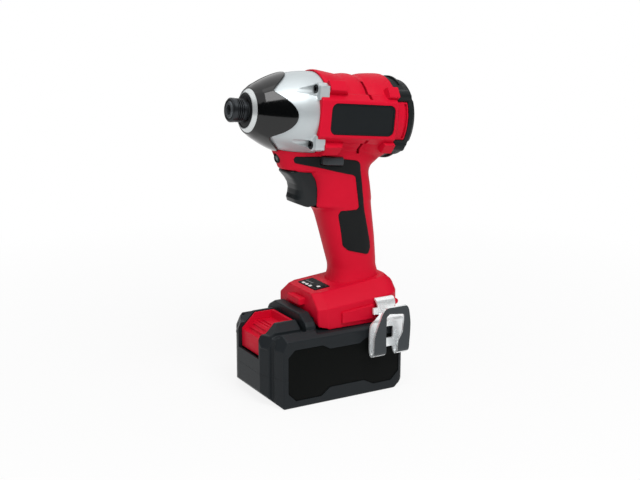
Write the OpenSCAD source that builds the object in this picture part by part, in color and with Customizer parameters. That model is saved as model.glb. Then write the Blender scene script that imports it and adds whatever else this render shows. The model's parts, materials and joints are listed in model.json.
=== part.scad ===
// Cordless impact driver: two-half housing, brushless motor, planetary drive, rotary hammer,
// quick-change bit holder, belt hook and slide-on battery pack.
// Frame: +X towards the nose, +Y to the tool's left, +Z up, origin on the pack's base below the head.
// The head's pieces are drawn along X and tilted nose up about the point where the tool axis meets X = 0.

/* [Head] */
// Height of the tool axis over the base at the origin
axis_h = 198.5; // [194:0.5:206]
// Nose-up tilt of the tool axis in degrees
head_tilt = 6; // [4:0.5:8]
// Largest outer radius of the barrel
barrel_r = 30.6; // [30.2:0.1:32]
// How much the barrel narrows at its waist
barrel_waist = 1.6; // [0.8:0.1:2]
// Distance from the origin forward to the barrel's front edge
barrel_front = 28; // [26.5:0.5:29]
// Distance from the origin back to the barrel's rear edge
barrel_back = 34; // [33:0.5:36]
// Depth of the rear cover behind the barrel
cover_len = 16.4; // [15.5:0.1:19]
// Half width over the flat side pads of the barrel
pad_half_w = 31.2; // [31:0.1:32.5]
// Length of a side badge
badge_len = 51.4; // [46:0.2:53]
// Height of a side badge
badge_h = 21.4; // [16:0.2:22]

/* [Hammer case] */
// Outer radius of the hammer case at its rear edge
case_r = 29; // [28.6:0.1:29.8]
// Outer radius of the case at its nose
nose_r = 15.2; // [14.6:0.1:16]
// Length of the case from the barrel to the nose ring
case_len = 40.2; // [39:0.2:42]
// Depth of the bright chamfered ring at the nose
nose_ring_len = 3.2; // [2.6:0.1:4]
// Thickness of the nose boot
boot_t = 1.4; // [1:0.1:1.8]
// Length of the boot from its front edge to its longest lobe
boot_len = 24; // [21:0.5:26]
// Distance of each case screw from the tool's middle plane
screw_y = 24.6; // [24.2:0.1:25.5]
// Height of each case screw above and below the axis
screw_z = 20.2; // [19.8:0.1:21]

/* [Bit holder] */
// Width across the flats of the hex socket
hex_af = 6.45; // [6.35:0.05:6.6]
// Depth of the hex socket
hex_depth = 24; // [18:0.5:25]
// Outer radius of the anvil inside the sleeve
anvil_r = 5.9; // [5.6:0.1:6.2]
// How far the anvil stands out of the nose
anvil_out = 12; // [11.5:0.1:14]
// Outer radius of the chuck sleeve
sleeve_r = 8.3; // [8.1:0.1:9]
// Travel of the chuck sleeve
sleeve_travel = 4; // [2:0.1:4.2]

/* [Drive] */
// Module of the gear teeth
gear_mod = 0.8; // [0.76:0.01:0.81]
// Width of the gear teeth
gear_w = 6; // [5:0.1:6.4]
// Radius of the hammer
hammer_r = 22; // [20:0.1:22.2]
// Length of the hammer
hammer_len = 17.5; // [16.5:0.1:18]
// Travel of the hammer back along the camshaft
hammer_travel = 7; // [6:0.1:7.4]
// Height of the hammer's jaws
jaw_h = 6.5; // [5.5:0.1:6.6]
// Radius of the camshaft
camshaft_r = 7; // [6.6:0.1:7.4]

/* [Motor] */
// Outer radius of the stator
stator_r = 24.2; // [23:0.1:24.6]
// Length of the stator
stator_len = 20; // [17:0.2:22]
// Outer radius of the rotor
rotor_r = 12.6; // [11.5:0.1:13]
// Radius of the motor shaft
shaft_r = 2.5; // [2:0.1:2.6]
// Radius of the fan
fan_r = 21.5; // [19:0.1:23]

/* [Grip] */
// Distance of the grip's centre line behind the origin at its top
grip_x = 1.95; // [0.5:0.05:3]
// Rake of the grip in degrees
grip_rake = 12; // [10:0.25:13]
// Front to back depth of the grip at its low end
grip_depth_low = 37.8; // [36:0.2:40]
// Front to back depth of the grip at its top
grip_depth_top = 46; // [45:0.2:48]
// Half width of the grip at its low end
grip_half_low = 15.5; // [15:0.1:17]
// Half width of the grip at its top
grip_half_top = 17; // [16.6:0.1:17.6]
// Thickness of the soft grips
soft_t = 1; // [0.6:0.1:1.5]
// Wall of the housing
wall = 2.6; // [2.2:0.1:3]
// Travel of the trigger
trigger_travel = 7; // [5:0.1:7.4]
// Half width of the trigger
trigger_half_w = 9.4; // [8.5:0.1:10]
// Travel of the direction selector each way
selector_travel = 2.5; // [1.5:0.1:3]

/* [Foot] */
// Half width of the foot
foot_half_w = 31; // [30:0.2:32]
// Distance of the foot's front edge ahead of the origin
foot_front = 26.5; // [25.5:0.2:27]
// Distance of the foot's rear edge behind the origin
foot_back = 40.6; // [40:0.2:42]
// Height of the foot's upright sides
foot_side_h = 16; // [15:0.2:17]
// Height of the foot up to its top edge
foot_h = 23.6; // [22.8:0.2:25]

/* [Belt hook] */
// Distance of the hook's centre behind the origin
hook_x = 18; // [17:0.2:20]
// Half width of the hook
hook_half = 15.5; // [13:0.1:16]
// Thickness of the hook's sheet
sheet_t = 2; // [1.6:0.1:2.2]
// Gap between the hook's two plates
hook_gap = 9; // [8:0.1:11]

/* [Battery] */
// Height of the pack's deck below the foot
pack_h = 50.5; // [49.5:0.1:53]
// Half width of the pack
pack_half_w = 37.15; // [36.6:0.1:37.6]
// Distance of the pack's rear face behind the origin
pack_back = 37.9; // [37.4:0.1:40]
// Distance of the pack's side faces' front edge ahead of the origin
pack_side_front = 61.3; // [61:0.1:63]
// Distance of the pack's nose ahead of the origin
pack_nose = 70; // [69.5:0.1:72]
// Half width of the pack's nose
pack_nose_half = 17.3; // [16.8:0.1:18]
// Height of the seam between tray and lid
seam_z = 22; // [19:0.5:26]
// Wall of the pack
pack_wall = 2.5; // [2.2:0.1:2.6]
// Diameter of a cell
cell_d = 18.4; // [18:0.1:18.5]
// Length of a cell
cell_len = 65; // [64:0.5:65.5]
// Travel of the release button
button_travel = 4.5; // [3:0.1:4.6]

/* [Hidden] */
$fn = 48;

// Shared clearances and cuts
overrun = 1;
run_gap = 0.3;
slip = 0.05;
seat_gap = 0.2;
// Larger than the whole tool
reach = 2 * axis_h;

// Motor, back from the gearbox plate's rear face at the origin of the axis
board_t = 1.6;
end_gap = 0.8;
coil_over = 3.2;
fan_len = 7;
motor_bearing_r = 6.5;
motor_bearing_w = 4;
coil_front = -board_t - end_gap;
stator_front = coil_front - coil_over;
stator_rear = stator_front - stator_len;
coil_rear = stator_rear - coil_over;
fan_front = coil_rear - end_gap;
fan_rear = fan_front - fan_len;
rear_bearing_front = fan_rear - end_gap;
rear_bearing_rear = rear_bearing_front - motor_bearing_w;
tooth_count = 6;
tooth_w = 6;
yoke_t = 4.2;
coil_w = 2.4;
air_gap = 0.5;
blade_count = 11;
blade_t = 1.2;
fan_plate_t = 1.6;
fan_hub_r = 6;

// Gear train: teeth of the sun, the planets and the ring
sun_teeth = 12;
planet_teeth = 18;
ring_teeth = 48;
planet_count = 3;
pressure_angle = 25;
tooth_thin = 0.08;
flank_steps = 4;
addendum_share = 1;
dedendum_share = 1.25;
orbit_r = gear_mod * (sun_teeth + planet_teeth) / 2;
pin_r = 2;
cage_t = 2.2;
cage_front_t = 4;
cage_web_w = 6;
spindle_bearing_r = 12;
spindle_bearing_w = 5;
bearing_web = 1.6;
sun_tip_r = gear_mod * (sun_teeth / 2 + addendum_share);
hub_bore_r = sun_tip_r + 2 * run_gap;
hub_r = hub_bore_r + 1.5 * gear_mod;
ring_root_r = gear_mod * (ring_teeth / 2 + dedendum_share);
ring_tip_r = gear_mod * (ring_teeth / 2 - addendum_share);
cage_r = ring_tip_r - 4 * run_gap;
ring_wall = 4.3;
ring_r = ring_root_r + ring_wall;
spigot_t = 1.7;
spigot_r = ring_r + slip + spigot_t;
bore_r = spigot_r + run_gap;
plate_web_x = motor_bearing_w + run_gap;
spindle_bearing_x = plate_web_x + bearing_web;
cage_x = spindle_bearing_x + spindle_bearing_w + run_gap;
plate_len = cage_x + cage_t;
planet_x = plate_len + run_gap;
cage_front_x = planet_x + gear_w + run_gap;
cam_x = cage_front_x + cage_front_t;
ring_end = planet_x + gear_w + run_gap;
plate_flange = 8;

// Hammer and anvil
hammer_x = ring_end + hammer_travel + 2 * run_gap;
hammer_front = hammer_x + hammer_len;
wing_x = hammer_front + run_gap;
wing_front = wing_x + jaw_h;
wing_r = 16.5;
wing_w = 10;
jaw_w = 9;
jaw_root = 1.5;
jaw_inner_r = camshaft_r + jaw_root;
spring_pocket_r = cage_r + 3 * run_gap;
spring_hub_r = 9.8;
hammer_face_t = 6.5;
spring_pocket_front = hammer_front - hammer_face_t;
hub_x = cam_x + hammer_travel + 2 * run_gap;
spring_r = 13.6;
spring_wire = 2.6;
spring_turns = 3;
cam_ball_r = 2.4;
cam_ball_back = 4;
cam_ball_x = hammer_front - cam_ball_back;
pilot_r = 3.2;
pilot_len = 6;
case_gap = 0.8;
nose_x = barrel_front + case_len;
nose_front = nose_x + nose_ring_len;
nose_cham = 2.7;
nose_face_r = nose_r - nose_cham;
seal_t = 2;
bush_r = 9.2;
journal_r = 6.9;
anvil_front = nose_front + anvil_out;
sleeve_back = nose_front + 2 * run_gap;
sleeve_front = anvil_front - run_gap;
sleeve_land = 2.6;
sleeve_t = 1;
sleeve_bore_r = sleeve_r - sleeve_t;
ball_r = 1.5;
ball_x = sleeve_back + sleeve_land / 2;
clip_t = 0.7;
clip_depth = 0.6;
sleeve_wire = 0.8;
sleeve_turns = 2;
clip_x = sleeve_back + sleeve_land + sleeve_travel + (sleeve_turns + 1) * sleeve_wire + run_gap;

// Hammer case outline: share of the case's length, share of the step from nose radius to case radius
case_shares = [[0, 1], [0.075, 0.985], [0.22, 0.93], [0.366, 0.84], [0.51, 0.71], [0.647, 0.55], [0.76, 0.39],
    [0.863, 0.225], [1, 0]];
ear_r = 4.6;
ear_len = 8;
ear_back = 5.5;
screw_shank_r = 1.9;
screw_head_r = 3.3;
screw_head_t = 2.8;
screw_depth = 11;
boss_len = 15;
access_len = 16;
lobe_count = 4;
valley_r = 12.5;
valley_share = 0.65;
boot_lip = 1;

// Barrel: share of its length from rear to front, share of the waist that is taken off
barrel_shares = [[0, 0.1], [0.19, 0.15], [0.4, 1], [0.66, 0.75], [0.85, 0], [1, 0.1]];
pad_half_h = 13;
pad_front = 1;
pad_rear = 2;
badge_t = 1.2;
badge_corner_r = 4.5;
badge_front = 20.8;
tab_len = 9;
tab_half_h = 13.4;
tab_slot_w = 1.8;
tab_slot_half = 11.5;
vent_w = 1.8;
vent_x = 15.5;
vent_low = 14;
vent_high = 25;

// Rear cover
cover_r = 29.6;
cover_rear_r = 27;
cover_wall = 2.4;
cover_step = 6;
cover_screw_y = 23.6;
cover_screw_z = 17.2;
cover_boss_r = 3.4;
cover_screw_r = 1.5;
cover_screw_head_r = 2.9;
cover_screw_head_t = 2.4;
cover_screw_len = 20;
cover_recess = 6;

// Handle: height of the flare above the foot and the drops of the grip's top and the neck below the axis
flare_h = 18.4;
neck_drop = 45.5;
neck_mid_drop = 33.5;
neck_in_drop = 20.5;
neck_back = 26;
neck_front = 30;
neck_half_w = 17.6;
ring_points = 36;
oval_power = 2.5;
soft_box_power = 5;
box_power = 9;
grip_shares = [0, 0.25, 0.5, 0.75, 1];
foot_z = pack_h + 2.5 * seat_gap;
foot_top = foot_z + foot_h;
grip_low_z = foot_top + flare_h;
grip_top_z = axis_h - neck_drop;
foot_lean = 3.5;
foot_lean_share = 0.6;
foot_top_half_w = 20;
foot_top_in = 4;
foot_round = 1.7;
foot_crown = 3.6;

// Chin below the hammer case: drops below the axis and how far behind the nose each height ends
chin_low_drop = 40.5;
chin_lip_drop = 35;
chin_mid_drop = 27.5;
chin_top_drop = 20.5;
chin_low_front = 24;
chin_lip_back = 24.2;
chin_mid_back = 21.7;
chin_top_back = 18.2;
chin_lip_front = nose_x - chin_lip_back;
chin_mid_front = nose_x - chin_mid_back;
chin_top_front = nose_x - chin_top_back;
chin_half_w = 14.5;

// Soft grip outline: share of the grip's half depth ahead of its centre line, share of the grip's height
soft_shares = [[1.5, 1.28], [1.46, 1.34], [0.63, 1.31], [-0.37, 1.24], [-0.47, 1.2], [-0.48, 1.14],
    [-0.42, 0.64], [-0.48, 0.26], [-0.47, 0.15], [-0.31, 0.07], [0.5, 0.15], [0.64, 0.21], [0.6, 0.36],
    [0.58, 0.6], [0.48, 0.645], [-0.11, 0.645], [-0.21, 0.675], [-0.25, 1.04], [-0.17, 1.07], [0.03, 1.09],
    [0.73, 1.17], [1.42, 1.25]];
soft_inner_y = 3;

// Trigger, in the head's frame: outline as shares of its reach and its height
trigger_x = 9.5;
trigger_reach = 30;
trigger_low = -65;
trigger_h = 25.6;
trigger_shares = [[0, 0.93], [1, 1], [0.9, 0.89], [0.78, 0.78], [0.69, 0.62], [0.66, 0.48], [0.65, 0.35],
    [0.66, 0.2], [0.62, 0.07], [0.41, 0], [0, 0.09]];
trigger_gap = 0.5;
stem_r = 3;
stem_len = 10;
switch_len = 22;
switch_half_w = 10.8;
switch_low = -62;
switch_high = -46.5;
switch_rib_half = 6;
selector_x = 8.6;
selector_len = 16;
selector_low = -34;
selector_h = 6.5;
selector_gap = 0.4;
selector_half_w = neck_half_w + selector_travel + selector_gap;
wire_hole_r = 5;
wire_hole_x = 12;

// Work light in the chin
light_r = 2.7;
light_bezel_r = 3.8;
light_drop = 27;
light_z = axis_h - light_drop;
light_len = 5;
light_proud = 0.4;
light_front = chin_mid_front + light_proud;

// Control panel on the foot
panel_back = 10;
panel_len = 13;
panel_half_w = 13;
panel_t = 1.4;
panel_sink = 0.6;
panel_z = foot_top + panel_sink;
button_half_w = 4.5;
button_len = 7;
button_y = 6.5;
button_proud = 0.4;
lamp_count = 3;
lamp_r = 1.1;
lamp_pitch = 3.4;
lamp_y = -9.4;
lamp_proud = 0.2;

// Foot interior and battery rail
lip_t = 3.2;
rail_neck = 17;
rail_half_w = 21;
rail_neck_h = 4;
rail_t = 3.6;
rail_back = 30;
rail_gap = 0.4;
ceiling_z = pack_h + rail_neck_h + rail_t + rail_gap;
arch_rise = 8.6;
arch_half_w = 17.5;
arch_foot_half = 30;
block_back = 30;
block_len = 30;
block_half_w = 17;
block_h = 5.5;
blade_len = 19;
blade_back = 27;
terminal_t = 0.8;
terminal_pitch = 8;
terminal_count = 4;
board_back = 31.5;
board_len = 49.5;
board_half_w = 21.2;
pcb_t = 1.6;

// Housing screws through the right half, as places in X and height
screw_head_y = 9;
case_boss_r = 3.6;
case_screw_r = 1.3;
case_screw_head_r = 2.9;
case_screw_head_t = 2.5;
chin_screw_x = 33;
chin_screw_drop = 29;
neck_screw_x = 19;
neck_screw_drop = 38;
mid_screw_share = 0.42;
low_screw_share = 0.02;
foot_screw_front = 24.5;
foot_screw_back = 35.6;
foot_screw_rise = 12.5;

// Belt hook
hook_screw_x = 20;
hook_screw_rise = 10;
hook_screw_z = foot_z + hook_screw_rise;
hook_screw_r = 1.6;
hook_head_r = 3.5;
hook_head_t = 2.4;
insert_r = 3;
insert_len = 8;
insert_boss = 6;
tab_half_w = 7.5;
tab_top_rise = 17.6;
tab_low_rise = 6.1;
tab_top = foot_z + tab_top_rise;
tab_low = foot_z + tab_low_rise;
hook_clear = 1.2;
plate_rise = 0.5;
plate_top = pack_h + plate_rise;
bend_drop = 15;
bend_z = pack_h - bend_drop;
outer_rise = 11.5;
outer_top = pack_h + outer_rise;
outer_flare = 4;
outer_drop = 4.5;
outer_mid = pack_h - outer_drop;
outer_top_half_share = 0.6;
leg_w = 9;
window_rise = 7;
bend_steps = 8;

// Battery
rear_cham_len = 8;
rear_cham_h = 7;
nose_cham_h = 7.1;
panel_back_gap = 4;
panel_front_x = 56.7;
panel_low = 5;
panel_high = 42;
inset_t = 1.2;
inset_cut = 6;
bridge_x = 31;
bridge_len = 5;
bridge_rise = 12.3;
bridge_side_rise = 2.5;
bridge_top = pack_h + bridge_rise;
bridge_low = pack_h + bridge_side_rise;
block_x = 41;
horn_rise = 7.2;
block_top = pack_h + horn_rise;
flat_back = 12.4;
block_flat = pack_nose - flat_back;
block_lip_z = 45;
block_half = 21;
shoulder_half = 25;
shoulder_rise = 3.1;
shoulder_top = pack_h + shoulder_rise;
shoulder_back = 39;
shoulder_in = 1.6;
button_half = 12.6;
button_gap = 0.4;
button_sink = 6;
button_floor = pack_h - button_sink;
slot_floor = 30.5;
slot_back = 8.4;
slot_x = pack_nose - slot_back;
scoop_depth = 0.6;
cell_gap = 0.2;
cell_rows = 2;
cell_columns = 5;
cell_pitch = cell_d + cell_gap;
cell_room = 1.3;
cell_x = cell_d / 2 + pack_wall + cell_room - pack_back;
cell_z = pack_wall + cell_room + cell_d / 2;
holder_t = 8;
holder_y = 21;
holder_over = 1.6;
holder_top = cell_z + cell_pitch + cell_d / 2 + holder_over;
pack_board_back = 31;
pack_board_len = 58;
pack_board_half = 23;
clip_len = 18;
clip_gap = 0.25;
clip_leaf = 0.6;
clip_rise = 4;
clip_top = pack_h + clip_rise;
slot_half = 2;
pack_screw_back = 6.8;
pack_screw_x = pack_nose - pack_screw_back;
pack_screw_y = 23;
pack_screw_r = 1.5;
pack_screw_head_r = 2.8;
pack_screw_head_t = 2;
pack_screw_len = 20;
pack_boss_r = 3.4;
latch_r = 4;
latch_wire = 0.8;
latch_turns = 4;

// Turns what is drawn along X into the tilted head
module on_axis() {
    translate([0, 0, axis_h]) rotate([0, -head_tilt, 0]) children();
}

// Straight round bar along X
module rod(x0, x1, r) {
    translate([x0, 0, 0]) rotate([0, 90, 0]) cylinder(h = x1 - x0, r = r);
}

// Straight tube along X
module pipe(x0, x1, ro, ri) {
    difference() {
        rod(x0, x1, ro);
        rod(x0 - overrun, x1 + overrun, ri);
    }
}

// Outline of radius and station turned about X
module turned(points) {
    rotate([0, 90, 0]) rotate_extrude() polygon(points);
}

// Flat outline across X, drawn from station x0
module across(x0, len) {
    translate([x0, 0, 0]) rotate([0, 90, 0]) linear_extrude(len) children();
}

// Outline in X and Z, drawn from y0 to y1
module upright(points, y0, y1) {
    translate([0, y1, 0]) rotate([90, 0, 0]) linear_extrude(y1 - y0) polygon(points);
}

// Block between two corners
module block(low, high) {
    translate(low) cube(high - low);
}

// Block that is the same on both sides of the middle plane
module middle(x0, x1, half, z0, z1) {
    block([x0, -half, z0], [x1, half, z1]);
}

// Copies on the four screw lines of the head
module four(y, z) {
    for (sy = [-1, 1], sz = [-1, 1]) translate([0, sy * y, sz * z]) children();
}

// The child and its mirror image on the other side
module both() {
    children();
    mirror([0, 1, 0]) children();
}

function signed(v, p) = sign(v) * pow(abs(v), 2 / p);

// One closed ring of a loft: [height, rear, front, half width, power, power at the rear if it differs]
function oval(row, grow) =
    let (c = (row[1] + row[2]) / 2, a = (row[2] - row[1]) / 2 + grow, b = row[3] + grow)
    [for (i = [0 : ring_points - 1]) let (t = 360 * (i + 0.5) / ring_points)
        let (p = cos(t) < 0 && !is_undef(row[5]) ? row[5] : row[4])
            [c + a * signed(cos(t), p), b * signed(sin(t), p), row[0]]];

// Closed skin over rings of equal count
module skin(rings) {
    m = len(rings[0]);
    k = len(rings);
    sides = [for (i = [0 : k - 2], j = [0 : m - 1]) each let (n = (j + 1) % m)
        [[i * m + j, (i + 1) * m + j, i * m + n], [i * m + n, (i + 1) * m + j, (i + 1) * m + n]]];
    low = [for (j = [0 : m - 1]) j];
    high = [for (j = [m - 1 : -1 : 0]) (k - 1) * m + j];
    polyhedron([for (r = rings) each r], concat(sides, [low, high]));
}

module loft(rows, grow) {
    skin([for (r = rows) oval(r, grow)]);
}

// Round wire along a helix about X
module coil(x0, x1, r, wire, turns) {
    sides = 6;
    per_turn = 10;
    count = turns * per_turn;
    pitch = (x1 - x0 - wire) / turns;
    skin([for (i = [0 : count]) let (t = 360 * i / per_turn)
        [for (j = [0 : sides - 1]) let (s = -360 * j / sides, q = r + wire / 2 * cos(s))
            [x0 + wire / 2 + pitch * i / per_turn + wire / 2 * sin(s), q * cos(t), q * sin(t)]]]);
}

// Grip's centre line and half depth at a height
function grip_share(z) = (z - grip_low_z) / (grip_top_z - grip_low_z);
function grip_mid(z) = (z - grip_top_z) * tan(grip_rake) - grip_x;
function grip_half_depth(z) = (grip_depth_low + (grip_depth_top - grip_depth_low) * grip_share(z)) / 2;
function grip_half_w(z) = grip_half_low + (grip_half_top - grip_half_low) * grip_share(z);
function grip_row(z, inset) =
    [z, grip_mid(z) - grip_half_depth(z) + inset, grip_mid(z) + grip_half_depth(z) - inset,
        grip_half_w(z) - inset, oval_power];
function grip_height(s) = grip_low_z + (grip_top_z - grip_low_z) * s;

// Rings of the handle from the foot to the neck, drawn in by an inset
function handle_rows(inset, low_z, crown) = concat(
    [
        [low_z, inset - foot_back, foot_front - inset, foot_half_w - inset, box_power,
            soft_box_power],
        [foot_z + foot_lean_share * foot_side_h, inset - foot_back, foot_front + foot_lean - inset,
            foot_half_w - inset, box_power, soft_box_power],
        [foot_z + foot_side_h - inset / 2, inset - foot_back, foot_front + foot_lean - inset,
            foot_half_w - inset, box_power, soft_box_power],
        [foot_top - inset, foot_top_in + inset - foot_back, foot_front + foot_lean / 2 - inset,
            foot_top_half_w - inset, soft_box_power],
        [foot_top + foot_round - inset, foot_top_in + inset - foot_back, foot_front - inset,
            foot_top_half_w - foot_round - inset, soft_box_power],
        [foot_top + crown - inset, grip_mid(foot_top) - grip_half_depth(foot_top) - foot_round + inset,
            grip_mid(foot_top) + grip_half_depth(foot_top) + foot_round - inset,
            grip_half_low + foot_round - inset, oval_power]
    ],
    [for (s = grip_shares) grip_row(grip_height(s), inset)]
);
neck_rows = [
    [axis_h - neck_mid_drop, -neck_back, neck_front, neck_half_w, oval_power],
    [axis_h - neck_in_drop, -neck_back, neck_front, neck_half_w, oval_power]
];
chin_rows = [
    [axis_h - chin_low_drop, -neck_back / 2, chin_low_front, chin_half_w, oval_power],
    [axis_h - chin_lip_drop, -neck_back / 2, chin_lip_front, chin_half_w, oval_power],
    [axis_h - chin_mid_drop, -neck_back / 2, chin_mid_front, chin_half_w, oval_power],
    [axis_h - chin_top_drop, -neck_back / 2, chin_top_front, chin_half_w, oval_power]
];

// Places of the housing screws in X and height, and the half length of the boss round each
boss_half = grip_half_low - wall / 2;
housing_screw_places = [
    [chin_screw_x, axis_h - chin_screw_drop, chin_half_w - 2 * wall],
    [-neck_screw_x, axis_h - neck_screw_drop, boss_half],
    [grip_mid(grip_height(mid_screw_share)), grip_height(mid_screw_share), boss_half],
    [grip_mid(grip_height(low_screw_share)), grip_height(low_screw_share), boss_half],
    [foot_screw_front, foot_z + foot_screw_rise, boss_half],
    [-foot_screw_back, foot_z + foot_screw_rise, boss_half]
];

// Bar along Y at a place in X and height
module cross_bar(place, r, y0, y1) {
    translate([place[0], y1, place[1]]) rotate([90, 0, 0]) cylinder(h = y1 - y0, r = r);
}

// Outline of the barrel, radius and station
barrel_len = barrel_front + barrel_back;
barrel_outline = concat(
    [[0, -barrel_back]],
    [for (s = barrel_shares) [barrel_r - s[1] * barrel_waist, s[0] * barrel_len - barrel_back]],
    [[0, barrel_front]]
);

// Barrel with its flat side pads, screw bosses and side tabs
module barrel() {
    turned(barrel_outline);
    both() block([pad_rear - barrel_back, 0, -pad_half_h],
        [barrel_front - pad_front, pad_half_w, pad_half_h]);
    four(screw_y, screw_z) rod(barrel_front - ear_back - boss_len, barrel_front - ear_back, ear_r);
    four(cover_screw_y, cover_screw_z)
        rod(-barrel_back, vent_w - barrel_back + cover_screw_len / 2, cover_boss_r);
    both() intersection() {
        pipe(-barrel_back - tab_len, -barrel_back, cover_r, stator_r + seat_gap);
        block([-reach, 0, -tab_half_h], [reach, reach, tab_half_h]);
    }
}

// Trigger outline grown by a gap, in the head's frame
module trigger_pocket() {
    middle(trigger_x - trigger_travel - trigger_gap, reach, trigger_half_w + trigger_gap,
        trigger_low - trigger_gap, trigger_low + trigger_h + trigger_gap);
}

module selector_hole(gap) {
    translate([selector_x, 0, 0]) middle(-selector_len / 2 - gap, selector_len / 2 + gap, reach,
        selector_low - gap, selector_low + selector_h + gap);
}

// What the head's own pieces take out of the housing
module head_pockets() {
    rod(coil_front, barrel_front + overrun, bore_r);
    case_space();
    rod(-reach, coil_front + overrun, stator_r + seat_gap);
    four(screw_y, screw_z) rod(barrel_front - ear_back, barrel_front + ear_len, ear_r + run_gap);
    four(screw_y, screw_z) rod(barrel_front - screw_depth - screw_head_t, barrel_front, screw_shank_r);
    four(cover_screw_y, cover_screw_z) rod(-reach, cover_screw_len / 2 - barrel_back, cover_screw_r);
    both() badge_shape(seat_gap, reach);
    trigger_pocket();
    selector_hole(selector_gap);
    both() for (s = [-1, 1]) block([-vent_x, vent_low, s * vent_high / 2 + s * vent_low / 2 - vent_low / 2],
        [vent_w - vent_x, reach, s * vent_high / 2 + s * vent_low / 2 + vent_low / 2]);
    both() block([-barrel_back - tab_len / 2, stator_r - yoke_t, -tab_slot_half],
        [tab_slot_w - barrel_back - tab_len / 2, reach, tab_slot_half]);
}

// Badge outline with round corners, standing on the pad's pocket floor and reaching to y1
module badge_shape(grow, y1) {
    translate([badge_front - badge_len / 2, y1, 0]) rotate([90, 0, 0])
        linear_extrude(y1 - pad_half_w + badge_t) offset(r = badge_corner_r + grow)
            square([badge_len - 2 * badge_corner_r, badge_h - 2 * badge_corner_r], center = true);
}

// Space inside the handle and the foot, above the rail's lips
module handle_space() {
    loft(handle_rows(wall, foot_z + lip_t, foot_crown), 0);
}

// Ribs and bosses inside the handle and the foot
module housing_ribs() {
    switch_mid_x = trigger_x - trigger_travel - switch_len / 2;
    switch_mid_z = (switch_low + switch_high) / 2;
    on_axis() both() block(
        [switch_mid_x - switch_rib_half, switch_half_w + seat_gap, switch_mid_z - switch_rib_half],
        [switch_mid_x + switch_rib_half, grip_half_top - wall / 2, switch_mid_z + switch_rib_half]);
    both() block([-block_back, block_half_w + seat_gap, ceiling_z],
        [block_len - block_back, foot_half_w - wall / 2, ceiling_z + block_h]);
    both() block([-hook_screw_x - insert_boss, board_half_w + seat_gap, hook_screw_z - insert_boss],
        [insert_boss - hook_screw_x, foot_half_w - wall / 2, hook_screw_z + insert_boss]);
    for (p = housing_screw_places) cross_bar(p, case_boss_r, -p[2], p[2]);
}

// What the foot's own pieces and the battery take out of the housing
module foot_pockets() {
    middle(-rail_back - rail_gap - pack_wall, reach, rail_neck + rail_gap, -reach, foot_z + lip_t + overrun);
    middle(foot_front - 2 * wall, reach, rail_half_w + rail_gap, foot_z, ceiling_z);
    translate([foot_front - 2 * wall, 0, 0]) rotate([90, 0, 90]) linear_extrude(reach)
        polygon([[-arch_foot_half, foot_z - overrun], [arch_foot_half, foot_z - overrun],
            [arch_half_w, foot_z + arch_rise], [-arch_half_w, foot_z + arch_rise]]);
    middle(panel_back - seat_gap, panel_back + panel_len + seat_gap, panel_half_w + seat_gap,
        panel_z, panel_z + wall);
    translate([panel_back + panel_len / 2, button_y, panel_z - panel_t]) cube([button_len + run_gap,
        2 * button_half_w + run_gap, 2 * panel_t], center = true);
    both() cross_bar([-hook_screw_x, hook_screw_z], insert_r, foot_half_w - insert_len, reach);
    rod_light(light_bezel_r);
    translate([-wire_hole_x, 0, grip_top_z - overrun])
        cylinder(h = neck_drop - neck_in_drop + overrun, r = wire_hole_r);
    for (p = housing_screw_places) {
        cross_bar(p, case_screw_r, -reach, grip_half_low - 2 * wall);
        cross_bar(p, case_screw_head_r + seat_gap, -reach, -screw_head_y);
    }
}

module rod_light(r) {
    translate([light_front - light_len, 0, light_z]) rod(0, light_len + overrun, r);
}

// One half of the housing: side 1 is the left half, -1 the right half
module housing_half(side) {
    intersection() {
        difference() {
            union() {
                difference() {
                    union() {
                        loft(concat(handle_rows(0, foot_z, foot_crown), neck_rows), 0);
                        loft(chin_rows, 0);
                        on_axis() barrel();
                    }
                    handle_space();
                }
                housing_ribs();
            }
            on_axis() head_pockets();
            foot_pockets();
        }
        translate([-reach / 2, side > 0 ? 0 : -reach, -reach / 2]) cube([reach, reach, 2 * reach]);
    }
}

module housing_left() {
    color("firebrick") housing_half(1);
}

module housing_right() {
    color("firebrick") housing_half(-1);
}

// Soft grip moulded over the left side of the handle
soft_outline = [for (s = soft_shares) let (z = grip_height(s[1]))
    [grip_mid(z) + s[0] * grip_half_depth(z), z]];
module soft_grip() {
    difference() {
        intersection() {
            union() {
                loft(concat(handle_rows(0, foot_z, foot_crown), neck_rows), soft_t);
                loft(chin_rows, soft_t);
            }
            upright(soft_outline, soft_inner_y, reach);
        }
        loft(concat(handle_rows(0, foot_z, foot_crown), neck_rows), slip);
        loft(chin_rows, slip);
        on_axis() rod(-reach, reach, barrel_r);
        on_axis() selector_hole(selector_gap);
        on_axis() trigger_pocket();
    }
}

module grip_left() {
    color("dimgray") soft_grip();
}

module grip_right() {
    color("dimgray") mirror([0, 1, 0]) soft_grip();
}

module side_badges() {
    color("black") on_axis() both() badge_shape(0, pad_half_w);
}

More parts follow.
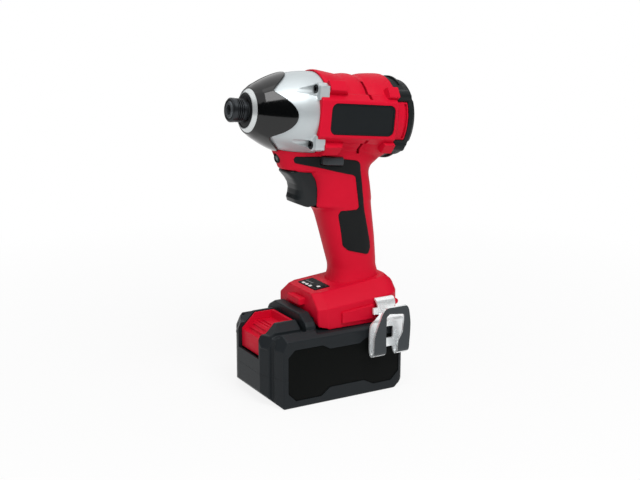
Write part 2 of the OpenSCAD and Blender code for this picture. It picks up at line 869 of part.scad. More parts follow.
// Outline of the rear cover, radius and station
cover_rear = -barrel_back - cover_len;
module rear_cover() {
    color("dimgray") on_axis() {
        difference() {
            turned([[0, cover_rear], [cover_rear_r - cover_wall, cover_rear],
                [cover_rear_r, cover_rear + cover_wall], [cover_r - cover_wall / 2, cover_rear + cover_step],
                [cover_r, cover_rear + cover_step],
                [cover_r, -barrel_back], [stator_r + seat_gap, -barrel_back],
                [stator_r + seat_gap, cover_rear + 2 * cover_wall],
                [stator_r - cover_wall, cover_rear + cover_wall], [0, cover_rear + cover_wall]]);
            both() block([-barrel_back - tab_len - seat_gap, 0, -tab_half_h - seat_gap],
                [reach, reach, tab_half_h + seat_gap]);
            four(cover_screw_y, cover_screw_z) rod(-reach, reach, cover_boss_r);
        }
        four(cover_screw_y, cover_screw_z) pipe(cover_rear + cover_recess, -barrel_back, cover_boss_r,
            cover_screw_r + seat_gap);
        pipe(cover_rear + cover_wall / 2, rear_bearing_rear, motor_bearing_r + cover_wall, shaft_r + run_gap);
        pipe(rear_bearing_rear - overrun, rear_bearing_front, motor_bearing_r + cover_wall, motor_bearing_r);
    }
}

module rear_cover_screws() {
    color("dimgray") on_axis() four(cover_screw_y, cover_screw_z) {
        rod(cover_rear + cover_recess, cover_rear + cover_screw_len, cover_screw_r);
        rod(cover_rear + cover_recess - cover_screw_head_t, cover_rear + cover_recess, cover_screw_head_r);
    }
}

// Outer radius of the hammer case at a share of its length
function case_radius(s) = nose_r + (case_r - nose_r) * lookup(s, case_shares);
case_outline = [for (s = case_shares) [case_radius(s[0]), barrel_front + s[0] * case_len]];

module hammer_case() {
    color("silver") on_axis() difference() {
        union() {
            turned(concat(
                [[ring_r + slip, plate_flange], [spigot_r, plate_flange], [spigot_r, barrel_front]],
                case_outline,
                [[nose_face_r, nose_front], [nose_face_r - seat_gap, nose_front],
                    [nose_face_r - seat_gap, nose_front - seal_t], [bush_r, nose_front - seal_t],
                    [bush_r, wing_front + run_gap], [wing_r + case_gap, wing_front + run_gap],
                    [wing_r + case_gap, wing_x], [hammer_r + case_gap, wing_x],
                    [hammer_r + case_gap, ring_end + run_gap], [ring_r + slip, ring_end]]));
            four(screw_y, screw_z) rod(barrel_front - ear_back, barrel_front + ear_len, ear_r);
        }
        rod(ring_end, wing_x, hammer_r + case_gap);
        rod(plate_flange - overrun, ring_end, ring_r + slip);
        four(screw_y, screw_z) rod(-reach, reach, screw_shank_r);
        four(screw_y, screw_z) rod(barrel_front + ear_len - screw_head_t, barrel_front + ear_len + access_len,
            screw_head_r + seat_gap);
    }
}

// Share of the case's length at which the boot's lobes end
boot_back_share = 1 - (boot_len - boot_lip) / case_len;
boot_shares = concat([boot_back_share], [for (s = case_shares) if (s[0] > boot_back_share) s[0]]);
boot_x = barrel_front + boot_back_share * case_len;

// Room that the case and the boot on it take in front of the barrel
module case_space() {
    turned(concat(
        [[0, barrel_front], [case_r + run_gap, barrel_front]],
        [for (s = case_shares) if (s[0] < boot_back_share)
            [case_radius(s[0]) + run_gap, barrel_front + s[0] * case_len + run_gap]],
        [[case_radius(boot_back_share) + run_gap, boot_x - run_gap]],
        [for (s = boot_shares) [case_radius(s) + boot_t + run_gap, barrel_front + s * case_len - run_gap]],
        [[0, nose_x]]));
}

module nose_boot() {
    color("black") on_axis() difference() {
        turned(concat(
            [for (s = boot_shares) [case_radius(s) + slip, barrel_front + s * case_len]],
            [[nose_r + slip, nose_x + boot_lip], [nose_r + boot_t / 2, nose_x + boot_lip]],
            [for (i = [len(boot_shares) - 1 : -1 : 0]) let (s = boot_shares[i])
                [case_radius(s) + boot_t, barrel_front + s * case_len]]));
        for (i = [0 : lobe_count - 1]) rotate([360 * (i + 0.5) / lobe_count, 0, 0])
            translate([nose_x + boot_lip - boot_len, 0, 0]) {
                translate([boot_len * valley_share - valley_r, 0, 0]) cylinder(h = reach, r = valley_r);
                translate([-valley_r, -valley_r, 0]) cube([boot_len * valley_share, 2 * valley_r, reach]);
            }
    }
}

module front_seal() {
    color("black") on_axis()
        pipe(nose_front - seal_t, nose_front, nose_face_r - seat_gap, journal_r + run_gap);
}

module case_screws() {
    color("dimgray") on_axis() four(screw_y, screw_z) {
        rod(barrel_front - screw_depth, barrel_front + ear_len - screw_head_t, screw_shank_r);
        rod(barrel_front + ear_len - screw_head_t, barrel_front + ear_len, screw_head_r);
    }
}

module housing_screws() {
    color("dimgray") for (p = housing_screw_places) {
        cross_bar(p, case_screw_r, -screw_head_y, grip_half_low - 2 * wall);
        cross_bar(p, case_screw_head_r, -screw_head_y - case_screw_head_t, -screw_head_y);
    }
}

module anvil() {
    color("dimgray") on_axis() difference() {
        union() {
            rod(wing_x, nose_front + run_gap, journal_r);
            rod(nose_front, anvil_front, anvil_r);
            intersection() {
                rod(wing_x, wing_front, wing_r);
                middle(wing_x, wing_front, wing_r, -wing_w / 2, wing_w / 2);
            }
        }
        rod(wing_x - overrun, wing_x + pilot_len + overrun, pilot_r + slip);
        translate([anvil_front - hex_depth, 0, 0]) rotate([0, 90, 0])
            cylinder(h = hex_depth + overrun, r = hex_af / 2 / cos(30), $fn = 6);
        pipe(clip_x - slip, clip_x + clip_t + slip, reach, anvil_r - clip_depth);
        translate([ball_x, 0, 0]) rotate([90, 0, 0]) cylinder(h = reach, r = ball_r + slip, center = true);
    }
}

module chuck_sleeve() {
    color("dimgray") on_axis() turned([
        [anvil_r + slip, sleeve_back], [sleeve_r - slip, sleeve_back], [sleeve_r, sleeve_back + run_gap],
        [sleeve_r, sleeve_front - 2 * run_gap], [sleeve_r - 2 * run_gap, sleeve_front],
        [sleeve_bore_r, sleeve_front], [sleeve_bore_r, sleeve_back + sleeve_land],
        [anvil_r + slip, sleeve_back + sleeve_land]]);
}

module sleeve_spring() {
    color("silver") on_axis() coil(sleeve_back + sleeve_land + slip, clip_x - slip,
        (anvil_r + sleeve_bore_r) / 2, sleeve_wire, sleeve_turns);
}

module sleeve_clip() {
    color("silver") on_axis() pipe(clip_x, clip_x + clip_t, sleeve_bore_r - seat_gap, anvil_r - clip_depth);
}

module detent_balls() {
    color("silver") on_axis() both() translate([ball_x, anvil_r - ball_r, 0]) sphere(r = ball_r);
}

module anvil_bush() {
    color("darkgoldenrod") on_axis()
        pipe(wing_front + run_gap, nose_front - seal_t, bush_r, journal_r + slip);
}

module hammer() {
    color("gray") on_axis() difference() {
        union() {
            turned([[spring_pocket_r, hammer_x], [hammer_r, hammer_x], [hammer_r, hammer_front],
                [camshaft_r + slip, hammer_front], [camshaft_r + slip, hub_x],
                [spring_hub_r, hub_x], [spring_hub_r, spring_pocket_front],
                [spring_pocket_r, spring_pocket_front]]);
            for (s = [-1, 1]) block([hammer_front - overrun, -jaw_w / 2, s > 0 ? jaw_inner_r : -wing_r],
                [hammer_front + jaw_h - run_gap, jaw_w / 2, s > 0 ? wing_r : -jaw_inner_r]);
        }
        both() translate([0, camshaft_r, 0])
            rod(cam_ball_x - cam_ball_r - run_gap, reach, cam_ball_r + run_gap);
    }
}

module hammer_spring() {
    color("silver") on_axis()
        coil(cam_x + slip, spring_pocket_front - slip, spring_r, spring_wire, spring_turns);
}

module cam_balls() {
    color("silver") on_axis() both() translate([cam_ball_x, camshaft_r, 0]) sphere(r = cam_ball_r);
}

// Camshaft with the cage that carries the planet gears
module camshaft() {
    color("gray") on_axis() difference() {
        union() {
            rod(spindle_bearing_x, cage_x, hub_r);
            rod(cage_x - run_gap, plate_len, cage_r - cage_t);
            rod(cage_front_x, cam_x, cage_r);
            rod(cam_x - overrun, hammer_front, camshaft_r);
            rod(hammer_front - overrun, hammer_front + pilot_len, pilot_r);
            for (i = [0 : planet_count - 1]) rotate([180 + 360 * i / planet_count, 0, 0])
                translate([0, 0, orbit_r]) middle(plate_len - overrun, cage_front_x + overrun, cage_web_w / 2,
                    0, cage_r - cage_t - orbit_r - run_gap);
        }
        rod(spindle_bearing_x - overrun, cage_front_x, hub_bore_r);
        planet_places() rod(plate_len - reach, cam_x - overrun, pin_r);
        both() translate([cam_ball_x, camshaft_r, 0]) sphere(r = cam_ball_r + slip);
    }
}

// Copies at the planet gears' centres, the first one straight up
module planet_places() {
    for (i = [0 : planet_count - 1]) planet_place(i) children();
}

module planet_place(i) {
    rotate([-360 * i / planet_count, 0, 0]) translate([0, 0, orbit_r]) children();
}

// Involute teeth: half the tooth's angle at a radius, and the outline of a whole gear
function involute(a) = tan(a) * 180 / PI - a;
function tooth_half(teeth, r, thin) =
    let (rp = gear_mod * teeth / 2, rb = rp * cos(pressure_angle))
    90 / teeth - thin / 2 / rp * 180 / PI + involute(pressure_angle) - (r > rb ? involute(acos(rb / r)) : 0);
function gear_outline(teeth, root, tip, thin) = [
    for (i = [0 : teeth - 1], side = [-1, 1], k = [0 : flank_steps])
        let (share = (side < 0 ? k : flank_steps - k) / flank_steps)
        let (r = root + (tip - root) * share)
        let (t = 360 * i / teeth + side * tooth_half(teeth, r, thin))
        [r * cos(t), r * sin(t)]
];

module gear(teeth, x0, len, bore) {
    rp = gear_mod * teeth / 2;
    difference() {
        across(x0, len) polygon(gear_outline(teeth, rp - dedendum_share * gear_mod,
            rp + addendum_share * gear_mod, tooth_thin));
        rod(x0 - overrun, x0 + len + overrun, bore);
    }
}

// One planet gear, turned so that a gap faces the sun
module planet_gear(i) {
    color("gray") on_axis() planet_place(i) rotate([180 / planet_teeth, 0, 0])
        gear(planet_teeth, planet_x, gear_w, pin_r + slip);
}

module planet_gear_1() {
    planet_gear(0);
}

module planet_gear_2() {
    planet_gear(1);
}

module planet_gear_3() {
    planet_gear(2);
}

module planet_pins() {
    color("silver") on_axis() planet_places() rod(cage_x, cam_x - overrun, pin_r);
}

module ring_gear() {
    color("dimgray") on_axis() difference() {
        rod(plate_len, ring_end, ring_r);
        rotate([180 / ring_teeth, 0, 0]) across(plate_len - overrun, gear_w + 4 * overrun)
            polygon(gear_outline(ring_teeth, ring_tip_r, ring_root_r, -tooth_thin));
    }
}

// Ball bearing with a groove on each face
module bearing(x0, width, ro, ri) {
    groove = (ro - ri) / 6;
    difference() {
        pipe(x0, x0 + width, ro, ri);
        pipe(x0 - overrun, x0 + groove / 2, ro - 2 * groove, ri + 2 * groove);
        pipe(x0 + width - groove / 2, x0 + width + overrun, ro - 2 * groove, ri + 2 * groove);
    }
}

module spindle_bearing() {
    color("silver") on_axis() bearing(spindle_bearing_x, spindle_bearing_w, spindle_bearing_r, hub_r + slip);
}

module gearbox_plate() {
    color("dimgray") on_axis() difference() {
        union() {
            rod(0, plate_flange, spigot_r);
            rod(0, plate_len, ring_r);
        }
        rod(-overrun, plate_web_x, motor_bearing_r);
        rod(-overrun, plate_len, motor_bearing_r - bearing_web / 2);
        rod(spindle_bearing_x, plate_len, spindle_bearing_r);
        rod(cage_x - run_gap, plate_len + overrun, cage_r);
    }
}

module rotor_shaft() {
    color("silver") on_axis() rod(rear_bearing_rear, planet_x + gear_w, shaft_r);
}

module rotor_core() {
    color("slategray") on_axis() pipe(stator_rear, stator_front, rotor_r, shaft_r);
}

module sun_pinion() {
    color("gray") on_axis() gear(sun_teeth, cage_x, gear_w + cage_t + run_gap, shaft_r);
}

module stator_core() {
    color("slategray") on_axis() difference() {
        union() {
            pipe(stator_rear, stator_front, stator_r, stator_r - yoke_t);
            for (i = [0 : tooth_count - 1]) rotate([360 * i / tooth_count, 0, 0])
                block([stator_rear, -tooth_w / 2, rotor_r],
                    [stator_front, tooth_w / 2, stator_r - yoke_t / 2]);
        }
        rod(stator_rear - overrun, stator_front + overrun, rotor_r + air_gap);
    }
}

module stator_windings() {
    color("peru") on_axis() for (i = [0 : tooth_count - 1])
        rotate([360 * i / tooth_count, 0, 0]) difference() {
        block([coil_rear, -tooth_w / 2 - coil_w, rotor_r + 2 * air_gap + seat_gap],
            [coil_front, tooth_w / 2 + coil_w, stator_r - yoke_t - overrun]);
        block([stator_rear - slip, -tooth_w / 2 - slip, 0], [stator_front + slip, tooth_w / 2 + slip, reach]);
    }
}

module fan() {
    color("dimgray") on_axis() difference() {
        union() {
            rod(fan_rear, fan_front, fan_hub_r);
            rod(fan_front - fan_plate_t, fan_front, fan_r);
            for (i = [0 : blade_count - 1]) rotate([360 * i / blade_count, 0, 0])
                block([fan_rear, -blade_t / 2, fan_hub_r - overrun],
                    [fan_front - overrun, blade_t / 2, fan_r - overrun]);
        }
        rod(fan_rear - overrun, fan_front + overrun, shaft_r);
    }
}

module motor_bearings() {
    color("silver") on_axis() {
        bearing(run_gap, motor_bearing_w, motor_bearing_r, shaft_r + slip);
        bearing(rear_bearing_rear, motor_bearing_w, motor_bearing_r, shaft_r + slip);
    }
}

module sensor_board() {
    color("darkgreen") on_axis() pipe(-board_t, 0, stator_r - overrun, motor_bearing_r + overrun);
}

// Trigger outline in the head's frame
trigger_outline = [for (s = trigger_shares)
    [trigger_x + s[0] * trigger_reach, trigger_low + s[1] * trigger_h]];
module trigger() {
    color("dimgray") on_axis() {
        upright(trigger_outline, -trigger_half_w, trigger_half_w);
        translate([0, 0, (switch_low + switch_high) / 2])
            rod(trigger_x - stem_len, trigger_x + overrun, stem_r);
    }
}

module switch_body() {
    switch_front = trigger_x - trigger_travel - trigger_gap;
    color("dimgray") on_axis() difference() {
        middle(switch_front - switch_len, switch_front, switch_half_w, switch_low, switch_high);
        translate([0, 0, (switch_low + switch_high) / 2])
            rod(trigger_x - stem_len - trigger_travel - overrun, reach, stem_r + run_gap);
    }
}

module direction_selector() {
    color("dimgray") on_axis() translate([selector_x, 0, 0]) middle(-selector_len / 2, selector_len / 2,
        selector_half_w, selector_low, selector_low + selector_h);
}

module work_light_lens() {
    color("gainsboro") translate([light_front - light_len, 0, light_z]) {
        rod(0, light_len - light_r / 2, light_r);
        intersection() {
            translate([light_len - light_r, 0, 0]) sphere(r = light_r);
            rod(0, light_len, light_r);
        }
    }
}

module work_light_bezel() {
    color("black") translate([light_front - light_len, 0, light_z]) pipe(0, light_len - light_r / 2,
        light_bezel_r, light_r);
}

module control_panel() {
    color("black") difference() {
        middle(panel_back, panel_back + panel_len, panel_half_w, panel_z, panel_z + panel_t);
        translate([panel_back + panel_len / 2, button_y, panel_z])
            cube([button_len, 2 * button_half_w, reach], center = true);
        lamps() cylinder(h = reach, r = lamp_r);
    }
}

// Copies at the panel's light windows
module lamps() {
    for (i = [0 : lamp_count - 1])
        translate([panel_back + panel_len / 2, lamp_y + i * lamp_pitch, panel_z]) children();
}

module panel_button() {
    color("dimgray") translate([panel_back + panel_len / 2, button_y, panel_z + (panel_t + button_proud) / 2])
        cube([button_len - 2 * slip, 2 * button_half_w - 2 * slip, panel_t + button_proud], center = true);
}

module panel_lights() {
    color("white") lamps() cylinder(h = panel_t + lamp_proud, r = lamp_r);
}

module control_board() {
    color("darkgreen") middle(-board_back, board_len - board_back, board_half_w, ceiling_z + block_h,
        ceiling_z + block_h + pcb_t);
}

// Copies at the battery terminals
module terminals() {
    for (i = [0 : terminal_count - 1])
        translate([-blade_back, (i - (terminal_count - 1) / 2) * terminal_pitch, 0]) children();
}

module terminal_blades() {
    terminals() block([0, -terminal_t / 2, pack_h + overrun],
        [blade_len, terminal_t / 2, ceiling_z + block_h / 2]);
}

module terminal_block() {
    color("black") difference() {
        middle(-block_back, block_len - block_back, block_half_w, ceiling_z, ceiling_z + block_h);
        terminal_blades();
    }
}

module tool_terminals() {
    color("silver") terminal_blades();
}

// Hook section in Y and Z: down the tab, out past the pack, round the bend and up the outer plate
inner_y = pack_half_w + hook_clear + sheet_t / 2;
bend_r = (hook_gap + sheet_t) / 2;
hook_path = concat(
    [[foot_half_w + sheet_t / 2, tab_top], [foot_half_w + sheet_t / 2, tab_low], [inner_y, plate_top]],
    [for (i = [0 : bend_steps]) let (t = 180 * i / bend_steps)
        [inner_y + bend_r - bend_r * cos(t), bend_z - bend_r * sin(t)]],
    [[inner_y + 2 * bend_r, outer_mid], [inner_y + 2 * bend_r + outer_flare, outer_top]]
);

// Outline of a strip of even thickness along a path
function strip_normal(path, i) =
    let (a = path[max(i - 1, 0)], b = path[min(i + 1, len(path) - 1)], d = b - a) [-d[1], d[0]] / norm(d);
function strip(path, t) = concat(
    [for (i = [0 : len(path) - 1]) path[i] + strip_normal(path, i) * t / 2],
    [for (i = [len(path) - 1 : -1 : 0]) path[i] - strip_normal(path, i) * t / 2]
);

module belt_hook() {
    middle_y = inner_y + bend_r;
    leg_low = bend_z - bend_r - sheet_t;
    outer_half = hook_half * outer_top_half_share;
    low_half = hook_half - leg_w;
    color("silver") difference() {
        intersection() {
            translate([-hook_x - hook_half, 0, 0]) rotate([90, 0, 90]) linear_extrude(2 * hook_half)
                polygon(strip(hook_path, sheet_t));
            union() {
                upright([[-hook_x - hook_half, leg_low], [hook_half - hook_x, leg_low],
                    [hook_half - hook_x, plate_top], [tab_half_w - hook_x, tab_low],
                    [tab_half_w - hook_x, tab_top + overrun],
                    [-hook_x - tab_half_w, tab_top + overrun], [-hook_x - tab_half_w, tab_low],
                    [-hook_x - hook_half, plate_top]], 0, middle_y);
                upright([[-hook_x - hook_half, leg_low], [hook_half - hook_x, leg_low],
                    [hook_half - hook_x, outer_mid], [outer_half - hook_x, outer_top + overrun],
                    [-hook_x - outer_half, outer_top + overrun],
                    [-hook_x - hook_half, outer_mid]], middle_y, reach);
            }
        }
        upright([[-hook_x - low_half, leg_low - overrun], [low_half - hook_x, leg_low - overrun],
            [low_half - hook_x, outer_top - window_rise], [-hook_x - low_half, outer_top - window_rise]],
            middle_y, reach);
        upright([[-hook_x - low_half, leg_low - overrun], [low_half - hook_x, leg_low - overrun],
            [low_half - hook_x, bend_z], [-hook_x - low_half, bend_z]], 0, reach);
        cross_bar([-hook_screw_x, hook_screw_z], hook_screw_r + seat_gap, 0, reach);
    }
}

module hook_screw() {
    place = [-hook_screw_x, hook_screw_z];
    sheet_y = foot_half_w + sheet_t;
    color("silver") {
        cross_bar(place, hook_screw_r, foot_half_w - insert_len, sheet_y);
        cross_bar(place, hook_head_r, sheet_y, sheet_y + hook_head_t);
    }
}

module hook_inserts() {
    color("darkgoldenrod") both() difference() {
        cross_bar([-hook_screw_x, hook_screw_z], insert_r, foot_half_w - insert_len, foot_half_w - seat_gap);
        cross_bar([-hook_screw_x, hook_screw_z], hook_screw_r + slip, 0, reach);
    }
}

// Pack outline from above and from the side, drawn in by an inset
module pack_plan(inset) {
    offset(delta = -inset) polygon([[-pack_back, -pack_half_w], [pack_side_front, -pack_half_w],
        [pack_nose, -pack_nose_half], [pack_nose, pack_nose_half], [pack_side_front, pack_half_w],
        [-pack_back, pack_half_w]]);
}

module pack_side(inset) {
    offset(delta = -inset) polygon([[-pack_back, rear_cham_h], [rear_cham_len - pack_back, 0],
        [pack_side_front, 0], [pack_nose, nose_cham_h], [pack_nose, block_lip_z], [block_flat, block_top],
        [-pack_back, block_top]]);
}

// Pack body between two heights, drawn in by an inset
module pack_body(inset, z0, z1) {
    intersection() {
        translate([0, 0, z0]) linear_extrude(z1 - z0) pack_plan(inset);
        rotate([90, 0, 0]) linear_extrude(2 * pack_half_w, center = true) pack_side(inset);
    }
}

// Side panel outline with cut corners, from the recess floor out to y1
module side_panel(grow, y1) {
    back = panel_back_gap - pack_back;
    upright([[back - grow, panel_low + inset_cut], [back + inset_cut, panel_low - grow],
        [panel_front_x - inset_cut, panel_low - grow], [panel_front_x + grow, panel_low + inset_cut],
        [panel_front_x + grow, panel_high - inset_cut], [panel_front_x - inset_cut, panel_high + grow],
        [back + inset_cut, panel_high + grow], [back - grow, panel_high - inset_cut]],
        pack_half_w - inset_t, y1);
}

module pack_screw_places() {
    both() translate([pack_screw_x, pack_screw_y, 0]) children();
}

module battery_tray() {
    color("dimgray") difference() {
        union() {
            difference() {
                pack_body(0, 0, seam_z);
                pack_body(pack_wall, 0, seam_z + overrun);
            }
            intersection() {
                pack_body(0, 0, seam_z);
                pack_screw_places() cylinder(h = seam_z, r = pack_boss_r);
            }
        }
        pack_screw_places() cylinder(h = reach, r = pack_screw_r + seat_gap);
        pack_screw_places() translate([0, 0, -overrun])
            cylinder(h = overrun + pack_screw_head_t + nose_cham_h, r = pack_screw_head_r + seat_gap);
        both() side_panel(seat_gap, reach);
    }
}

// Space of the release button in the lid, grown by a gap
module button_space(grow) {
    middle(block_x - grow, slot_x + grow, button_half + grow, button_floor - grow, reach);
    middle(slot_x - grow, reach, button_half + grow, slot_floor - grow, reach);
}

module battery_lid() {
    color("dimgray") difference() {
        union() {
            difference() {
                pack_body(0, seam_z, pack_h);
                difference() {
                    pack_body(pack_wall, seam_z - overrun, pack_h - pack_wall);
                    button_space(pack_wall);
                    pack_screw_places() cylinder(h = pack_h, r = pack_boss_r);
                }
            }
            intersection() {
                pack_body(0, seam_z, block_top);
                middle(block_x - pack_wall, pack_nose, block_half, pack_h - overrun, block_top);
            }
            intersection() {
                pack_body(shoulder_in, seam_z, shoulder_top);
                both() block([shoulder_back, shoulder_half, pack_h - overrun],
                    [pack_nose, pack_half_w, shoulder_top]);
            }
            translate([bridge_x, 0, 0]) rotate([90, 0, 90]) linear_extrude(bridge_len) polygon([
                [-foot_half_w, pack_h - overrun], [foot_half_w, pack_h - overrun], [foot_half_w, bridge_low],
                [arch_half_w, bridge_top], [-arch_half_w, bridge_top], [-foot_half_w, bridge_low]]);
            middle(-rail_back, bridge_x + overrun, rail_neck,
                pack_h - overrun, pack_h + rail_neck_h + overrun);
            middle(-rail_back, bridge_x + overrun, rail_half_w,
                pack_h + rail_neck_h, pack_h + rail_neck_h + rail_t);
        }
        button_space(button_gap);
        terminals() block([-reach, -slot_half, pack_h - pack_wall - overrun],
            [blade_len + slot_half, slot_half, reach]);
        pack_screw_places() cylinder(h = pack_screw_len + pack_screw_head_t + nose_cham_h, r = pack_screw_r);
        both() side_panel(seat_gap, reach);
    }
}

module battery_side_panels() {
    color("black") both() side_panel(0, pack_half_w - slip);
}

// Copies at the cells' ends, on the middle plane
module cells() {
    for (i = [0 : cell_columns - 1], k = [0 : cell_rows - 1])
        translate([cell_x + i * cell_pitch, 0, cell_z + k * cell_pitch]) rotate([90, 0, 0]) children();
}

module battery_cells() {
    color("steelblue") cells() cylinder(h = cell_len, d = cell_d, center = true);
}

module cell_holders() {
    color("ivory") both() difference() {
        intersection() {
            block([-reach, holder_y, 0],
                [cell_x + (cell_columns - 0.5) * cell_pitch, holder_y + holder_t, holder_top]);
            pack_body(pack_wall + seat_gap, 0, pack_h);
        }
        cells() cylinder(h = reach, d = cell_d + 2 * slip, center = true);
    }
}

module battery_board() {
    color("darkgreen") {
        middle(-pack_board_back, pack_board_len - pack_board_back, pack_board_half,
            holder_top, holder_top + pcb_t);
        terminals() for (s = [-1, 1]) block(
            [0, s * (terminal_t / 2 + clip_gap + clip_leaf / 2) - clip_leaf / 2, holder_top + pcb_t],
            [clip_len, s * (terminal_t / 2 + clip_gap + clip_leaf / 2) + clip_leaf / 2, clip_top]);
    }
}

// Button outline in X and Z: top plate, scooped slope and upright front
button_front = pack_nose - button_gap;
module release_button() {
    top = block_top - run_gap;
    floor_z = button_floor + button_travel + run_gap;
    slot_z = slot_floor + button_travel + run_gap;
    lip_z = block_lip_z - run_gap;
    scoop = [(block_flat + button_front - scoop_depth) / 2, (top + lip_z - scoop_depth) / 2];
    color("firebrick") difference() {
        upright([[block_x + button_gap, floor_z], [slot_x + button_gap, floor_z],
            [slot_x + button_gap, slot_z], [button_front, slot_z], [button_front, lip_z], scoop,
            [block_flat - button_gap, top],
            [block_x + button_gap, top]], -button_half, button_half);
        translate([(block_x + block_flat) / 2, 0, floor_z - overrun])
            cylinder(h = overrun + latch_wire, r = latch_r + latch_wire);
    }
}

module latch_spring() {
    translate([(block_x + block_flat) / 2, 0, button_floor - button_gap]) rotate([0, -90, 0]) color("silver")
        coil(slip, button_travel + 2 * run_gap + button_gap + latch_wire / 2,
            latch_r, latch_wire, latch_turns);
}

module battery_screws() {
    color("dimgray") pack_screw_places() {
        translate([0, 0, nose_cham_h]) cylinder(h = pack_screw_head_t, r = pack_screw_head_r);
        translate([0, 0, nose_cham_h]) cylinder(h = pack_screw_len, r = pack_screw_r);
    }
}

housing_left();
housing_right();
grip_left();
grip_right();
side_badges();
rear_cover();
rear_cover_screws();
hammer_case();
nose_boot();
front_seal();
case_screws();
housing_screws();
anvil();
chuck_sleeve();
sleeve_spring();
sleeve_clip();
detent_balls();
anvil_bush();
hammer();
hammer_spring();
cam_balls();
camshaft();
planet_gear_1();
planet_gear_2();
planet_gear_3();
planet_pins();
ring_gear();
spindle_bearing();
gearbox_plate();
rotor_shaft();
rotor_core();
sun_pinion();
stator_core();
stator_windings();
fan();
motor_bearings();
sensor_board();
trigger();
switch_body();
direction_selector();
work_light_lens();
work_light_bezel();
control_panel();
panel_button();
panel_lights();
control_board();
terminal_block();
tool_terminals();
belt_hook();
hook_screw();
hook_inserts();
battery_tray();
battery_lid();
battery_side_panels();
battery_cells();
cell_holders();
battery_board();
release_button();
latch_spring();
battery_screws();
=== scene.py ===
import json
import math

import bmesh
import bpy
from mathutils import Matrix, Vector


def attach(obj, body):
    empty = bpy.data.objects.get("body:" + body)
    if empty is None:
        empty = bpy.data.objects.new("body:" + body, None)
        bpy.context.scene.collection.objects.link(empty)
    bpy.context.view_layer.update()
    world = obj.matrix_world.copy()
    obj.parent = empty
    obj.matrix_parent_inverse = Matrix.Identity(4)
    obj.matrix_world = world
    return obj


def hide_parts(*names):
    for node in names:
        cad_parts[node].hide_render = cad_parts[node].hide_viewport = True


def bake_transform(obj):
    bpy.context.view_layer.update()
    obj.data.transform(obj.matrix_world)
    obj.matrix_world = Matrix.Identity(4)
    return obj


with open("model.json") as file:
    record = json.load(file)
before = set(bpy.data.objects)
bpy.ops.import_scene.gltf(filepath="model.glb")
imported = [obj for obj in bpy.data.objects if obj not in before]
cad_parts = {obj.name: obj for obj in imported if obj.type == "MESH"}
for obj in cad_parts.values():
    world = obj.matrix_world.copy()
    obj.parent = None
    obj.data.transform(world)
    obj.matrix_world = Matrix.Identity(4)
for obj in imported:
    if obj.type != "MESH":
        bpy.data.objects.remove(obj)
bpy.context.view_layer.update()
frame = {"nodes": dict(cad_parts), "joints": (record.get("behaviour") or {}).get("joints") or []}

mm = 0.001  # every size below is in millimetres
joints = {joint["name"]: joint for joint in frame["joints"]}

# the head is drawn along X about its own axis, and this puts it nose up where the spindle turns
headAxis = Vector(joints["spindle_spin"]["axis"]).normalized()
headPlace = Matrix.Translation(Vector(joints["spindle_spin"]["pos_m"])) \
    @ Matrix.Rotation(-math.asin(headAxis.z), 4, "Y")
world = Matrix.Identity(4)
sides = (-1, 1)
fourCorners = [(side, rise) for side in sides for rise in sides]


# mesh helpers

weld = 0.0005  # points nearer than this are one


def linked(name, data):
    obj = bpy.data.objects.new(name, data)
    bpy.context.scene.collection.objects.link(obj)
    return obj


def built(bm, name):
    mesh = bpy.data.meshes.new(name)
    bm.to_mesh(mesh)
    bm.free()
    return linked(name, mesh)


def softened(obj, angle=35):
    obj.data.shade_smooth()
    obj.data.set_sharp_from_angle(angle=math.radians(angle))
    return obj


def toObject(bm, name, place=world, angle=35):
    bmesh.ops.remove_doubles(bm, verts=bm.verts, dist=weld)
    bmesh.ops.recalc_face_normals(bm, faces=bm.faces)
    bm.transform(place @ Matrix.Scale(mm, 4))
    return softened(built(bm, name), angle)


def onHead(bm, name):
    return toObject(bm, name, headPlace)


def applied(obj):
    graph = bpy.context.evaluated_depsgraph_get()
    mesh = bpy.data.meshes.new_from_object(obj.evaluated_get(graph))
    obj.modifiers.clear()
    old = obj.data
    obj.data = mesh
    bpy.data.meshes.remove(old)
    return obj


def evened(obj):  # flats keep one shade up to their edges
    weigh = obj.modifiers.new("normals", "WEIGHTED_NORMAL")
    weigh.keep_sharp = True
    return applied(obj)


def bevelled(obj, width, segments, angle):  # rounds the edges that turn by more than the angle
    edge = obj.modifiers.new("edge", "BEVEL")
    edge.width = width * mm
    edge.segments = segments
    edge.limit_method = "ANGLE"
    edge.angle_limit = math.radians(angle)
    return applied(obj)


def copied(obj, name):
    return linked(name, obj.data.copy())


def combined(obj, operation, *tools):
    for tool in tools:
        boolean = obj.modifiers.new("combine", "BOOLEAN")
        boolean.operation = operation
        boolean.solver = "MANIFOLD"
        boolean.object = tool
        before = len(obj.data.polygons)
        applied(obj)
        if len(obj.data.polygons) in (0, before):
            print("  unchanged by", operation, tool.name, "on", obj.name)
        old = tool.data
        bpy.data.objects.remove(tool)
        bpy.data.meshes.remove(old)
    return obj


def joinedUp(obj, *tools):
    return combined(obj, "UNION", *tools)


def cut(obj, *tools):
    return combined(obj, "DIFFERENCE", *tools)


def remoulded(obj, voxel, passes):  # one skin over joined forms, with moulded radii on its edges
    remesh = obj.modifiers.new("skin", "REMESH")
    remesh.mode = "VOXEL"
    remesh.voxel_size = voxel * mm
    smooth = obj.modifiers.new("radii", "SMOOTH")
    smooth.factor = 0.5
    smooth.iterations = passes
    return softened(applied(obj))


def swollen(obj, amount, name):  # copy grown along its normals
    other = copied(obj, name)
    push = other.modifiers.new("grow", "DISPLACE")
    push.strength = amount * mm
    push.mid_level = 0
    return applied(other)


def ring(bm, points):
    verts = [bm.verts.new(point) for point in points]
    return [bm.edges.new((verts[i - 1], verts[i])) for i in range(len(verts))]


